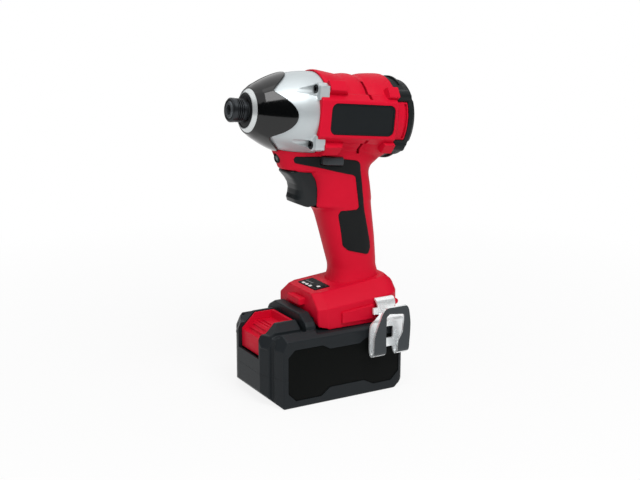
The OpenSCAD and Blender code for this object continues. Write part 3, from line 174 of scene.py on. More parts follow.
def bridged(bm, loops):  # faces between each row of edges and the next
    for near, far in zip(loops, loops[1:]):
        bmesh.ops.bridge_loops(bm, edges=near + far)
    return bm


def skinned(rings, capped=True):  # skin over rings of equal count
    bm = bmesh.new()
    loops = [ring(bm, points) for points in rings]
    bridged(bm, loops)
    if capped:
        for end in (loops[0], loops[-1]):
            bmesh.ops.edgeloop_fill(bm, edges=end)
    return bm


def eased(rows, steps):  # rows between the given ones, on a smooth curve through them
    out = []
    for i in range(len(rows) - 1):
        near = (rows[max(i - 1, 0)], rows[i], rows[i + 1], rows[min(i + 2, len(rows) - 1)])
        for step in range(steps):
            t = step / steps
            out.append([0.5 * (2 * b + (c - a) * t + (2 * a - 5 * b + 4 * c - d) * t * t
                               + (3 * b - a - 3 * c + d) * t ** 3) for a, b, c, d in zip(*near)])
    return out + [rows[-1]]


def oval(row, count=72):  # ring of a handle row: height, rear, front, half width, squareness
    z, rear, front, half, power = row
    points = []
    for i in range(count):
        angle = 2 * math.pi * (i + 0.5) / count
        c, s = math.cos(angle), math.sin(angle)
        points.append(((rear + front) / 2 + (front - rear) / 2 * math.copysign(abs(c) ** (2 / power), c),
                       half * math.copysign(abs(s) ** (2 / power), s), z))
    return points


def rounded(corners, steps=6):  # flat outline from corners of (u, v, radius)
    out = []
    for i, (u, v, radius) in enumerate(corners):
        here = Vector((u, v))
        before = (Vector(corners[i - 1][:2]) - here).normalized()
        after = (Vector(corners[(i + 1) % len(corners)][:2]) - here).normalized()
        turn = math.acos(max(-1, min(1, before.dot(after))))
        if radius <= 0 or turn > math.pi - 0.02:
            out.append(here)
            continue
        back = radius / math.tan(turn / 2)
        centre = here + (before + after).normalized() * radius / math.sin(turn / 2)
        start, end = here + before * back - centre, here + after * back - centre
        sweep = start.angle_signed(end)
        for step in range(steps + 1):
            spin = Matrix.Rotation(-sweep * step / steps, 2)
            out.append(centre + spin @ start)
    return out


def plate(u, v, radius, steps=6):  # outline of a rectangle with round corners, from its limits
    return rounded([(u[0], v[0], radius), (u[1], v[0], radius), (u[1], v[1], radius), (u[0], v[1], radius)], steps)


def span(side, inner, outer):  # limits on one side of the middle, low one first
    return sorted((side * inner, side * outer))


def roundEdges(bm, edges, width, segments=3):
    bmesh.ops.bevel(bm, geom=edges, offset=width, offset_type="OFFSET", affect="EDGES", segments=segments,
                    profile=0.5, material=-1)


def slab(outline, low, high, axis="Y", edge=0, segments=3):  # outline drawn in the other two axes
    place = {"X": lambda u, v, w: (w, u, v), "Y": lambda u, v, w: (u, w, v), "Z": lambda u, v, w: (u, v, w)}[axis]
    bm = bmesh.new()
    loop = ring(bm, [place(u, v, low) for u, v in outline])
    face = bmesh.ops.edgeloop_fill(bm, edges=loop)["faces"]
    grown = bmesh.ops.extrude_face_region(bm, geom=face)["geom"]
    shift = Vector(place(0, 0, high - low))
    bmesh.ops.translate(bm, verts=[v for v in grown if isinstance(v, bmesh.types.BMVert)], vec=shift)
    bmesh.ops.recalc_face_normals(bm, faces=bm.faces)
    if edge:
        normal = shift.normalized()
        rim = [e for e in bm.edges if len(e.link_faces) == 2
               and any(abs(f.normal.dot(normal)) > 0.99 for f in e.link_faces)]
        roundEdges(bm, rim, edge, segments)
    return bm


def box(x, y, z, edge=0):  # from the two limits along each axis
    bm = bmesh.new()
    bmesh.ops.create_cube(bm, size=1)
    low, high = (Vector(corner) for corner in zip(x, y, z))
    bmesh.ops.scale(bm, vec=high - low, verts=bm.verts)
    bmesh.ops.translate(bm, vec=(high + low) / 2, verts=bm.verts)
    if edge:
        roundEdges(bm, bm.edges[:], edge)
    return bm


def turned(profile, steps=96):  # closed outline of (station, radius) spun about X
    bm = bmesh.new()
    loop = ring(bm, [(x, 0, r) for x, r in profile])
    bmesh.ops.spin(bm, geom=loop + bm.verts[:], axis=(1, 0, 0), cent=(0, 0, 0), dvec=(0, 0, 0),
                   angle=2 * math.pi, steps=steps, use_merge=True, use_duplicate=False)
    bmesh.ops.remove_doubles(bm, verts=bm.verts, dist=weld)
    bmesh.ops.dissolve_degenerate(bm, dist=weld, edges=bm.edges)
    return bm


def rod(low, high, radius, y=0, z=0, edge=0, segments=48):  # round bar along X
    bm = bmesh.new()
    bmesh.ops.create_cone(bm, cap_ends=True, segments=segments, radius1=radius, radius2=radius, depth=high - low,
                          matrix=Matrix.Translation(((low + high) / 2, y, z)) @ Matrix.Rotation(math.pi / 2, 4, "Y"))
    if edge:
        roundEdges(bm, [e for e in bm.edges if any(len(f.verts) > 4 for f in e.link_faces)], edge)
    return bm


def band(x, r):  # square profile of a turned band
    return [(x[0], r[0]), (x[0], r[1]), (x[1], r[1]), (x[1], r[0])]


def arcPiece(name, profile, x, y, z):  # as much of a turned band as lies inside a box
    return combined(onHead(turned(profile), name), "INTERSECT", onHead(box(x, y, z), name + "Span"))


def halfOf(obj, name, point, normal):  # what lies on one side of a plane, closed again
    half = bmesh.new()
    half.from_mesh(obj.data)
    rim = bmesh.ops.bisect_plane(half, geom=half.verts[:] + half.edges[:] + half.faces[:], plane_co=point,
                                 plane_no=normal, clear_inner=True)["geom_cut"]
    bmesh.ops.triangle_fill(half, edges=[e for e in rim if isinstance(e, bmesh.types.BMEdge)], use_beauty=False,
                            use_dissolve=True)
    shell = evened(softened(built(half, name)))
    print(name, len(shell.data.polygons))
    return shell


def merged(first, *others):  # one bmesh out of several
    for other in others:
        mesh = bpy.data.meshes.new("part")
        other.to_mesh(mesh)
        other.free()
        first.from_mesh(mesh)
        bpy.data.meshes.remove(mesh)
    return first


def finished(obj, material, body, slot, *nodes):
    obj.data.materials.clear()
    obj.data.materials.append(material)
    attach(obj, body)
    if nodes:
        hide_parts(*nodes)
    return obj


# materials

def linear(code):  # sRGB hex to linear colour
    values = [int(code[i:i + 2], 16) / 255 for i in (1, 3, 5)]
    return tuple(v / 12.92 if v <= 0.04045 else ((v + 0.055) / 1.055) ** 2.4 for v in values) + (1,)


def addNode(tree, kind, inputs=None, **settings):
    node = tree.nodes.new(kind)
    for name, value in settings.items():
        setattr(node, name, value)
    for name, value in (inputs or {}).items():
        if isinstance(value, bpy.types.NodeSocket):
            tree.links.new(value, node.inputs[name])
        else:
            node.inputs[name].default_value = value
    return node


def newMaterial(name):
    material = bpy.data.materials.new(name)
    material.use_nodes = True
    tree = material.node_tree
    shader = tree.nodes["Principled BSDF"]
    coords = addNode(tree, "ShaderNodeTexCoord").outputs["Object"]
    return material, tree, shader, coords


def perMetre(size):  # noise scale whose cells are about this many millimetres
    return 1 / (size * mm)


def dressed(tree, shader, flow, colour, shade, grain, rough, spread, relief, depth):
    # the flow tints the colour, and the grain varies the gloss and lifts the skin
    tint = addNode(tree, "ShaderNodeMix", {"Factor": flow, "A": linear(colour), "B": linear(shade)},
                   data_type="RGBA")
    gloss = addNode(tree, "ShaderNodeMapRange", {"Value": grain, "From Min": 0.3, "From Max": 0.7,
                                                 "To Min": rough - spread, "To Max": rough + spread})
    bump = addNode(tree, "ShaderNodeBump", {"Height": grain, "Strength": relief, "Distance": depth * mm})
    tree.links.new(tint.outputs["Result"], shader.inputs["Base Color"])
    tree.links.new(gloss.outputs["Result"], shader.inputs["Roughness"])
    tree.links.new(bump.outputs["Normal"], shader.inputs["Normal"])


# a real spark texture or blasted grain is nearer 0.1 mm: it is drawn at 0.3 to 0.6 mm so that it shows
flowMark = 14.0  # width of the faint flow marks in moulded plastic


def moulded(name, colour, shade, rough, grain, relief, specular=0.3, coat=0.0):
    # moulded plastic: a fine spark texture breaks the gloss, with faint flow marks in the colour
    material, tree, shader, coords = newMaterial(name)
    flow = addNode(tree, "ShaderNodeTexNoise", {"Vector": coords, "Scale": perMetre(flowMark), "Detail": 3.0})
    spark = addNode(tree, "ShaderNodeTexNoise", {"Vector": coords, "Scale": perMetre(grain), "Detail": 4.0})
    dressed(tree, shader, flow.outputs["Fac"], colour, shade, spark.outputs["Fac"], rough, 0.06, relief, 0.05)
    shader.inputs["Specular IOR Level"].default_value = specular
    shader.inputs["Coat Weight"].default_value = coat
    shader.inputs["Coat Roughness"].default_value = 0.06
    return material


def metal(name, colour, shade, rough, spread, grain, relief, stretch=(1, 1, 1), metallic=1.0):
    # bare or plated metal: the grain of casting, turning or rolling shows in the gloss
    material, tree, shader, coords = newMaterial(name)
    mapping = addNode(tree, "ShaderNodeMapping", {"Vector": coords, "Scale": stretch})
    noise = addNode(tree, "ShaderNodeTexNoise", {"Vector": mapping.outputs["Vector"], "Scale": perMetre(grain),
                                                 "Detail": 5.0})
    skin = noise.outputs["Fac"]
    dressed(tree, shader, skin, colour, shade, skin, rough, spread, relief, 0.03)
    shader.inputs["Metallic"].default_value = metallic
    return material


# glass filled nylon: an even satin colour without clear reflections
redNylon = moulded("red_glass_filled_nylon", "#ce0d2d", "#c70a29", 0.48, 0.45, 0.25, 0.12)
coverBlack = moulded("black_glass_filled_nylon", "#1b1f20", "#181c1d", 0.48, 0.5, 0.3, 0.18)
packGrey = moulded("dark_grey_glass_filled_nylon", "#202427", "#1c2023", 0.48, 0.5, 0.3, 0.18)
packPanelBlack = moulded("black_grained_pack_panel", "#0a0c0b", "#080a09", 0.55, 0.6, 0.4, 0.08)
# overmoulded elastomer and nitrile: dry matt blacks
blackRubber = moulded("black_soft_elastomer", "#101314", "#0d1011", 0.58, 0.5, 0.3, 0.22)
sealBlack = moulded("black_nitrile_seal", "#17191b", "#131517", 0.5, 0.4, 0.2, 0.25)
# smooth plates of ABS and polycarbonate: flat blacks with a faint sheen
badgeBlack = moulded("black_abs_badge", "#181c1e", "#15191b", 0.4, 0.3, 0.12, 0.16)
panelBlack = moulded("black_polycarbonate_panel", "#0d0f11", "#0a0c0e", 0.45, 0.4, 0.06, 0.08)
# polished polyurethane: near black, with the lamps and the floor mirrored in it
glossBoot = moulded("black_polished_tpu_boot", "#08090a", "#070808", 0.12, 1.2, 0.02, 0.32, 0.35)
# acetal: slick, with soft highlights along its edges
triggerBlack = moulded("black_acetal_trigger", "#1a1e20", "#161a1c", 0.34, 0.4, 0.12, 0.28)
selectorGrey = moulded("grey_black_acetal_selector", "#34393c", "#2f3437", 0.4, 0.4, 0.12, 0.3)
# blasted and turned aluminium: bright greys, the first with broad soft highlights, the second with fine rings
castAlloy = metal("bead_blasted_cast_aluminium", "#c3cacc", "#bac2c5", 0.38, 0.05, 0.5, 0.25, metallic=0.45)
brightRing = metal("turned_aluminium_ring", "#dde1e1", "#d4d9da", 0.3, 0.05, 0.25, 0.1, (6, 1, 1), 0.6)
# blackened steels: dark, with a thin metallic gleam
blackSteel = metal("black_oxide_steel", "#3c3f42", "#333639", 0.34, 0.07, 0.35, 0.12, metallic=0.8)
screwSteel = metal("black_zinc_screw_steel", "#232628", "#1d2022", 0.4, 0.06, 0.35, 0.12, metallic=0.8)
phosphateSteel = metal("phosphated_tool_steel", "#63686c", "#5a5f63", 0.36, 0.06, 0.3, 0.1, metallic=0.7)
# chromed sheet: bright along its bends; the outer faces of the frame take a darker chrome, which is a painted dark
# reflection
chromeSteel = metal("bright_chromed_sheet", "#f2f5f6", "#ecf0f1", 0.26, 0.03, 6.0, 0.02, metallic=0.45)
paintedDarkReflectionChrome = metal("chrome_with_painted_dark_reflection", "#3d4245", "#373c3f", 0.24, 0.03, 6.0, 0.02, metallic=0.6)
# metals inside: ground steel gleams, bronze is dull and warm, wire and laminations show their layers
toolSteel = metal("ground_tool_steel", "#a9adb0", "#9a9fa3", 0.3, 0.06, 0.3, 0.1)
bronze = metal("sintered_bronze", "#b08040", "#96693a", 0.4, 0.06, 0.3, 0.15)
copper = metal("enamelled_copper_wire", "#b5622f", "#9c4f24", 0.3, 0.06, 0.6, 0.2, (1, 6, 1))
lamination = metal("stacked_silicon_steel", "#7d8083", "#6b6e71", 0.42, 0.06, 0.5, 0.35, (4, 1, 1))
# plastics inside, and the panel's windows and print: plain moulded colours, the smooth ones glossier
greenBoard = moulded("green_solder_mask", "#17603a", "#125231", 0.35, 0.6, 0.15)
cellWrap = moulded("blue_pvc_cell_wrap", "#2f6f9f", "#2a6592", 0.3, 1.0, 0.08)
ivoryPlastic = moulded("ivory_abs_holder", "#d9d2bd", "#cfc7b0", 0.45, 0.5, 0.2)
smokedWindow = moulded("smoked_acrylic_window", "#3a3e40", "#34383a", 0.2, 0.4, 0.05, 0.5)
whitePrint = moulded("white_screen_print", "#e9ecec", "#e2e6e6", 0.4, 0.4, 0.05)
# smoked polycarbonate: a dark glassy dot with a little haze
clearLens, lensTree, lensShader, lensCoords = newMaterial("smoked_polycarbonate_lens")
lensHaze = addNode(lensTree, "ShaderNodeTexNoise", {"Vector": lensCoords, "Scale": perMetre(0.8), "Detail": 2.0})
lensGloss = addNode(lensTree, "ShaderNodeMapRange", {"Value": lensHaze.outputs["Fac"], "To Min": 0.08,
                                                     "To Max": 0.18})
lensTree.links.new(lensGloss.outputs["Result"], lensShader.inputs["Roughness"])
lensShader.inputs["Base Color"].default_value = linear("#50585c")
lensShader.inputs["Transmission Weight"].default_value = 0.4
lensShader.inputs["IOR"].default_value = 1.58

slotMaterials = {
    "red_plastic": redNylon, "black_plastic": coverBlack, "soft_rubber": blackRubber, "badge_plastic": badgeBlack,
    "cast_alloy": castAlloy, "boot_plastic": glossBoot, "seal_rubber": sealBlack, "black_steel": blackSteel,
    "tool_steel": toolSteel, "chrome_steel": chromeSteel, "bronze": bronze, "copper": copper,
    "lamination": lamination, "green_board": greenBoard, "clear_lens": clearLens, "panel_plastic": panelBlack,
    "white_lamp": smokedWindow, "pack_plastic": packGrey, "pack_panel": packPanelBlack, "cell_wrap": cellWrap,
    "ivory_plastic": ivoryPlastic,
}
print("materials made:", len(slotMaterials))

# head

hammerCase = {"rows": [(21.4, 29.2), (25, 29.15), (28, 29.0), (31, 28.8), (37, 28.05), (42.7, 26.8), (48.5, 25.0),
                       (54, 22.8), (58.5, 20.6), (62.7, 18.3), (68.2, 15.4)],
              "spigotBack": 20, "spigotFront": 21.3, "spigotIn": 24.2, "spigotOut": 26.2, "nose": 69.5,
              "noseRadius": 13.6, "wall": 2.6, "hole": 9.6, "voxel": 0.54, "passes": 3, "screwY": 23.0,
              "screwZ": 18.9, "screwFront": 30.9, "wellFrom": 28.2, "wellRadius": 3.35,
              "fairing": [(22.5, 29.8, 4.6), (27, 29.8, 4.6), (30.2, 29.8, 4.6), (30.8, 27.0, 4.4), (36, 25.2, 4.2),
                          (42, 22.4, 3.6)],
              "earBack": 22.5, "tabIn": 18, "tabOut": 28.9, "tabLow": 12.3, "tabTop": 22.0, "tabFront": 30.0}
caseCurve = eased(hammerCase["rows"], 5)


def caseRadius(x):
    for (x0, r0), (x1, r1) in zip(caseCurve, caseCurve[1:]):
        if x <= x1:
            return r0 + (r1 - r0) * (x - x0) / (x1 - x0)
    return caseCurve[-1][1]


def caseEars(grow):  # corner fairings of the case that carry its four screws, and the tabs beside them
    ears = []
    reach = math.hypot(hammerCase["screwY"], hammerCase["screwZ"])
    turn = [2 * math.pi * i / 32 for i in range(32)]
    for side, rise in fourCorners:
        outY, outZ = side * hammerCase["screwY"] / reach, rise * hammerCase["screwZ"] / reach
        rings = [[(x - grow if x <= hammerCase["earBack"] else x, outY * out + (radius + grow) * math.cos(a),
                   outZ * out + (radius + grow) * math.sin(a)) for a in turn]
                 for x, out, radius in hammerCase["fairing"]]
        tab = box((hammerCase["earBack"] - grow, hammerCase["tabFront"]),
                  span(side, hammerCase["tabIn"], hammerCase["tabOut"] + grow),
                  span(rise, hammerCase["tabLow"] - grow, hammerCase["tabTop"]))
        ears += [onHead(skinned(rings), "ear"), onHead(tab, "tab")]
    return ears


caseInner = [(x, max(r - hammerCase["wall"], hammerCase["hole"])) for x, r in reversed(caseCurve)]
spigot = [(hammerCase["spigotBack"], hammerCase["spigotIn"]), (hammerCase["spigotBack"], hammerCase["spigotOut"]),
          (hammerCase["spigotFront"], hammerCase["spigotOut"])]
caseNose = [(hammerCase["nose"], hammerCase["noseRadius"]), (hammerCase["nose"], hammerCase["hole"])]
caseBody = onHead(turned(spigot + caseCurve + caseNose + caseInner
                         + [(hammerCase["spigotFront"], hammerCase["spigotIn"])]), "hammerCaseBody")
joinedUp(caseBody, *caseEars(0))
remoulded(caseBody, hammerCase["voxel"], hammerCase["passes"])
for side, rise in fourCorners:
    cut(caseBody, onHead(rod(hammerCase["wellFrom"], 70, hammerCase["wellRadius"], side * hammerCase["screwY"],
                             rise * hammerCase["screwZ"]), "screwWell"))
softened(caseBody)
finished(caseBody, castAlloy, "tool", "cast_alloy", "hammer_case")
print("hammer case made")

nose = {"ring": [(68.5, 12.4), (68.5, 14.9), (68.8, 15.2), (71.1, 12.9), (71.4, 12.5), (71.4, 12.0), (69.4, 12.0)],
        "seal": [(69.4, 7.5), (69.4, 11.95), (71.0, 11.95), (71.2, 11.7), (70.8, 10.9), (71.2, 10.1), (71.0, 7.5)],
        "sleeve": [(72.0, 6.2), (72.0, 7.5), (72.4, 7.9), (75.0, 7.9), (75.2, 7.2), (75.7, 7.2), (75.9, 8.1),
                   (76.4, 8.1), (76.7, 7.2), (77.2, 7.2), (77.4, 8.1), (77.9, 8.1), (78.2, 7.2), (78.7, 7.2),
                   (78.9, 8.1), (79.4, 8.1), (79.6, 7.4), (79.9, 8.3), (82.2, 8.3), (83.1, 7.4), (83.1, 6.2)],
        "anvil": [(46, 0), (46, 6.5), (71.2, 6.8), (71.6, 5.9), (82.8, 5.9), (83.4, 5.3), (83.4, 0)],
        "front": 83.4, "hex": 6.45, "hexDepth": 24}
finished(onHead(turned(nose["ring"]), "noseRing"), brightRing, "tool", "cast_alloy", "hammer_case")
finished(onHead(turned(nose["seal"]), "frontSeal"), sealBlack, "tool", "seal_rubber", "front_seal")

boot = {"front": 68.4, "thick": 1.35, "inset": 0.3, "tip": 43.8, "valley": 58.0, "rim": 14.5, "lobes": 4,
        "lobePower": 0.72, "steps": 160, "rows": 24, "facet": 0.13, "coneEnd": 64, "edge": 0.6, "crease": 50}


def bootEdge(angle):  # how far back the boot reaches: four rounded lobes
    share = (0.5 + 0.5 * math.cos(boot["lobes"] * angle)) ** boot["lobePower"]
    return boot["valley"] + (boot["tip"] - boot["valley"]) * share


def bootRadius(x, angle):  # four flattened facets that meet in creases between the lobes
    quarter = 2 * math.pi / boot["lobes"]
    off = (angle + quarter / 2) % quarter - quarter / 2
    share = min(1, max(0, (x - boot["coneEnd"]) / (boot["front"] - boot["coneEnd"])))
    cone = caseRadius(min(x, boot["coneEnd"]))
    radius = cone + (boot["rim"] - cone) * share
    return radius * (1 + boot["facet"] * (1 - share) * (1 / math.cos(off) - 1)) - boot["inset"]


bootRings = []
for row in range(boot["rows"] + 1):
    points = []
    for step in range(boot["steps"]):
        angle = 2 * math.pi * step / boot["steps"]
        x = boot["front"] + (bootEdge(angle) - boot["front"]) * row / boot["rows"]
        radius = bootRadius(x, angle)
        points.append((x, radius * math.sin(angle), radius * math.cos(angle)))
    bootRings.append(points)
noseBoot = onHead(skinned(bootRings, capped=False), "noseBoot")
wallMod = noseBoot.modifiers.new("wall", "SOLIDIFY")
wallMod.thickness = (boot["thick"] + boot["inset"]) * mm
wallMod.offset = 1
wallMod.use_even_offset = True
applied(noseBoot)
softened(bevelled(noseBoot, boot["edge"], 3, boot["crease"]), boot["crease"])
finished(noseBoot, glossBoot, "tool", "boot_plastic", "nose_boot")
print("boot made")

finished(onHead(turned(nose["sleeve"]), "chuckSleeve"), blackSteel, "sleeve", "black_steel", "chuck_sleeve")
anvilBody = onHead(turned(nose["anvil"]), "anvilShank")
hexSocket = rod(nose["front"] - nose["hexDepth"], nose["front"] + nose["hexDepth"], nose["hex"] / math.sqrt(3),
                segments=6)
softened(cut(anvilBody, onHead(hexSocket, "hexSocket")))
finished(anvilBody, phosphateSteel, "bit_holder", "black_steel", "anvil")
print("nose made")

caseScrew = {"socket": 1.5, "top": 2.6, "radius": 3.2, "shank": 1.85, "length": 12}
coverScrew = {"socket": 1.4, "top": 2.2, "radius": 2.9, "shank": 1.5, "length": 12}


def socketScrew(socket, top, radius, shank, length):  # button head with a hex socket, along X
    screw = toObject(turned([(0, 0), (0, radius - 0.5), (-0.5, radius), (-top, radius), (-top, shank),
                             (-length, shank), (-length, 0)], 40), "screw")
    return cut(screw, toObject(rod(-1.6, 1.6, socket, segments=6), "socket"))


def screwSet(name, size, material, node, x, y, z, turn=0):  # one screw in each corner of the head
    made = bmesh.new()
    for side, rise in fourCorners:
        one = socketScrew(**size)
        one.data.transform(headPlace @ Matrix.Translation(Vector((x, side * y, rise * z)) * mm)
                           @ Matrix.Rotation(turn, 4, "Z"))
        made.from_mesh(one.data)
        bpy.data.objects.remove(one)
    finished(softened(built(made, name)), material, "tool", "black_steel", node)


screwSet("caseScrews", caseScrew, screwSteel, "case_screws", hammerCase["screwFront"], hammerCase["screwY"],
         hammerCase["screwZ"])

# housing

handle = {"rows": [[70, -34.0, 6.0, 17, 2.6], [76, -35.4, 4.9, 17.2, 2.6], [80, -34.6, 3.4, 16.6, 2.5],
                   [84, -33.3, 2.6, 15.8, 2.45], [88, -32.4, 2.8, 15.5, 2.4], [93, -32.2, 4.1, 15.5, 2.4],
                   [108, -31.0, 8.4, 15.9, 2.4], [119.5, -29.6, 11.7, 16.2, 2.4], [128, -28.5, 14.4, 16.5, 2.4],
                   [132.6, -27.8, 17.2, 16.6, 2.5], [135.4, -27.4, 22.2, 16.7, 2.7], [138, -27.0, 21.8, 16.75, 3.0],
                   [146, -25.6, 21.0, 16.9, 3.2], [152, -24.7, 21.7, 17.05, 3.1], [156, -24.5, 23.4, 17.2, 2.9],
                   [159, -25.3, 25.8, 17.4, 2.7], [162, -27.5, 27.4, 17.6, 2.5], [164.5, -31, 28.3, 17.7, 2.5],
                   [167, -34, 28.9, 17.8, 2.5], [172, -33.5, 30, 18, 2.5], [181, -32, 30, 18, 2.5]],
          "chin": [[160.3, -10, 27, 12.6, 2.6], [161.6, -10, 38.5, 13.3, 2.5], [163.4, -10, 43.4, 13.8, 2.4],
                   [166, -10, 45, 14.1, 2.35], [171, -10, 46.7, 14.4, 2.3], [178, -10, 49.8, 14.6, 2.3],
                   [184, -10, 50, 14.6, 2.3]],
          "voxel": 0.58, "passes": 3, "parting": 0.08, "wall": 2.6}


def handleSkin(rows, steps, name):
    return toObject(skinned([oval(row) for row in eased(rows, steps)]), name)


def handleForm(name):
    return joinedUp(handleSkin(handle["rows"], 4, name), handleSkin(handle["chin"], 3, "chin"))


# foot rows: front, rear, half width, rear corner radius, height, and its fall per millimetre forwards
foot = {"rows": [(28.2, -39.8, 31, 14, 50.9, 0), (29.4, -40.4, 31, 14, 60, 0), (29.4, -40.2, 31, 14, 67.8, 0.075),
                 (28.9, -39.3, 26.3, 13, 72.5, 0.11), (28.4, -36, 19.5, 11, 77.4, 0.093),
                 (25, -31, 15, 8, 77.6, 0.093)],
        "chamferX": 6.4, "chamferY": 2.9, "edge": 0.7, "arch": 59.4, "archDrop": 0.0079, "archHalf": 32,
        "sideStep": [(11.6, 54.2, 0.6), (11.6, 62.4, 1), (-14.6, 64.8, 1), (-16.6, 54.2, 0.6)],
        "frontStep": [(-9.4, 64.6, 1), (9.4, 64.6, 1), (9, 69.8, 1), (-9, 69.8, 1)],
        "knobX": -33.6, "knobZ": 64.2, "knobRadius": 2.1, "knobOut": 32.2}


def footPlan(front, back, half, rearRadius, height, fall):
    start, shoulder = front - foot["chamferX"], half - foot["chamferY"]
    corners = [(start, half, 1), (front, shoulder, 1.6), (front, -shoulder, 1.6), (start, -half, 1),
               (back, -half, rearRadius), (back, half, rearRadius)]
    return [(x, y, height - fall * x) for x, y in rounded(corners)]


footBody = bevelled(toObject(skinned([footPlan(*row) for row in foot["rows"]]), "footBody"), foot["edge"], 3, 30)
for side in sides:
    knobPlace = Matrix.Translation((foot["knobX"] * mm, 0, foot["knobZ"] * mm)) \
        @ Matrix.Rotation(-side * math.pi / 2, 4, "Z")
    joinedUp(footBody, toObject(slab(rounded(foot["sideStep"]), *span(side, 28, 32.8), "Y", 0.6), "sideStep"),
             toObject(rod(-foot["knobOut"], -26, foot["knobRadius"], edge=0.6), "hookKnob", knobPlace))
joinedUp(footBody, toObject(slab(rounded(foot["frontStep"]), 26, 34, "X", 1), "frontStep"))

barrel = {"rows": [(-34, 30.3), (-31, 30.5), (-24.4, 30.2), (-17.5, 29.5), (-12.3, 27.9), (-7.9, 29.0), (-3.6, 29.2),
                   (2.5, 28.4), (6, 28.8), (11.2, 29.5), (16, 30.2), (19.4, 30.6), (22, 30.4)],
          "bore": 26.5, "rearBore": 24.5, "padOut": 31.2, "padIn": 25.6, "padFlat": 12.7, "padHalf": 17,
          "padBack": -33, "padFront": 29, "coverScrewY": 23.6, "coverScrewZ": 17.2, "bossY": 24.6, "bossZ": 20.2,
          "ridgeHalf": 4.3, "bossRidge": [(22.4, 18), (22.4, 36.1), (9.6, 35.7), (6.6, 31), (6.6, 18)],
          "rearRidge": [(-33.9, 18), (-33.9, 34.4), (-25.4, 34.4), (-24.2, 29.6), (-24.2, 18)],
          "tab": [(-43, 24.6), (-43, 29.2), (-42.6, 29.6), (-33, 29.6), (-33, 24.6)],
          "tabGroove": band((-41.7, -39.6), (28.1, 40)), "vent": band((-12.3, -9.9), (22, 40))}
barrelBack, barrelLip = barrel["rows"][0][0], barrel["rows"][-1][0]
barrelBody = onHead(turned([(barrelBack, 0)] + eased(barrel["rows"], 5) + [(barrelLip, 0)]), "barrelBody")
ridges = []
for side in sides:
    padIn, padOut = side * barrel["padIn"], side * barrel["padOut"]
    pad = [(0, -barrel["padHalf"]), (padIn, -barrel["padHalf"]), (padOut, -barrel["padFlat"]),
           (padOut, barrel["padFlat"]), (padIn, barrel["padHalf"]), (0, barrel["padHalf"])]
    joinedUp(barrelBody, onHead(slab(pad, barrel["padBack"], barrel["padFront"], "X", 0.6), "sidePad"),
             arcPiece("tabRing", barrel["tab"], (-60, 0), span(side, 0, 40), (-13.4, 13.4)))
    for rise in sides:
        for outline, y, z in ((barrel["bossRidge"], barrel["bossY"], barrel["bossZ"]),
                              (barrel["rearRidge"], barrel["coverScrewY"], barrel["coverScrewZ"])):
            ridge = slab(outline, -barrel["ridgeHalf"], barrel["ridgeHalf"], "Y", 0.8)
            ridges.append(toObject(ridge, "ridge", headPlace @ Matrix.Rotation(
                math.atan2(-side * y, rise * z), 4, "X")))

housing = joinedUp(handleForm("housing"), barrelBody)
remoulded(housing, handle["voxel"], handle["passes"])
joinedUp(housing, footBody, *ridges)
print("housing skin:", len(housing.data.polygons))

badge = {"x": (-30.6, 20.8), "z": (-10.7, 10.7), "radius": 4.5, "out": 30.9, "back": 29.9, "edge": 0.35,
         "border": 1.1, "floor": 30.5, "gap": 0.15}


def badgePlan(grow, radius, steps):
    return plate((badge["x"][0] - grow, badge["x"][1] + grow), (badge["z"][0] - grow, badge["z"][1] + grow), radius,
                 steps)


innerRows = [[z, rear + handle["wall"], front - handle["wall"], half - handle["wall"], power]
             for z, rear, front, half, power in handle["rows"][:-2]]
cut(housing,
    onHead(turned([(21.2, 0), (21.2, 29.5)] + [(x, r + 0.3) for x, r in caseCurve] + [(68.2, 0)]), "caseSpace"),
    onHead(rod(-2, 29, barrel["bore"]), "bore"),
    onHead(rod(-60, 0, barrel["rearBore"]), "rearBore"),
    handleSkin(innerRows, 4, "handleSpace"), *caseEars(0.15))
for side in sides:
    cut(housing, onHead(slab(badgePlan(badge["gap"], 4.6, 6), *span(side, 30, 40), "Y"), "badgeBed"),
        arcPiece("tabGroove", barrel["tabGroove"], (-50, -30), span(side, 10, 45), (-12, 12)))
    for rise in sides:
        cut(housing, arcPiece("vent", barrel["vent"], (-20, -5), span(side, 8, 40), span(rise, 14, 25)))

trigger = {"half": 9.4, "gap": 0.45, "flat": 5.0, "curl": 3.4, "curlFrom": 15, "curlOver": 12,
           "outline": [(9.6, -41.4), (33, -40.2), (39.4, -39.6), (36.6, -42.5), (32.9, -46.0), (30.3, -49.5),
                       (29.2, -53.2), (29.3, -57), (29.9, -60), (28.8, -62.8), (22, -65), (9.6, -62.7)],
           "roundCorners": (1, 2, 10), "stations": (-9.4, -9.1, -8.2, -6.6, -4, 0, 4, 6.6, 8.2, 9.1, 9.4)}
selector = {"waist": ((3.4, 13.6), (-14, 14), (-31.8, -29.4)), "hole": ((3.0, 14.0), (-11, 11), (-32.2, -29.0)),
            "pocketX": (0.6, 16.6), "pocketZ": (-33.7, -27.6), "pocketIn": 10.5,
            "end": [(0.9, 13.2, 0.4), (16.3, 13.2, 0.4), (16.3, 17.9, 1.2), (13.4, 20.4, 1.2), (0.9, 20.4, 0.8)],
            "endZ": (-33.5, -27.8)}
light = {"height": 171.5, "bore": 3.9,
         "bezel": [(42, 2.75), (42, 3.75), (46.6, 3.75), (46.9, 3.4), (46.9, 2.95), (46.3, 2.75)],
         "lens": [(42, 0), (42, 2.65), (46.0, 2.65), (46.5, 2.0), (46.75, 1.0), (46.8, 0)]}
lightPlace = Matrix.Translation((0, 0, light["height"] * mm))
panel = {"middle": Vector((16.5, 0, 76)), "lean": 5.3, "x": (10.3, 22.9), "y": (-12.8, 12.8), "back": 75.2,
         "top": 76.5, "bedX": (10.1, 23.1), "bedY": (-13.0, 13.0)}
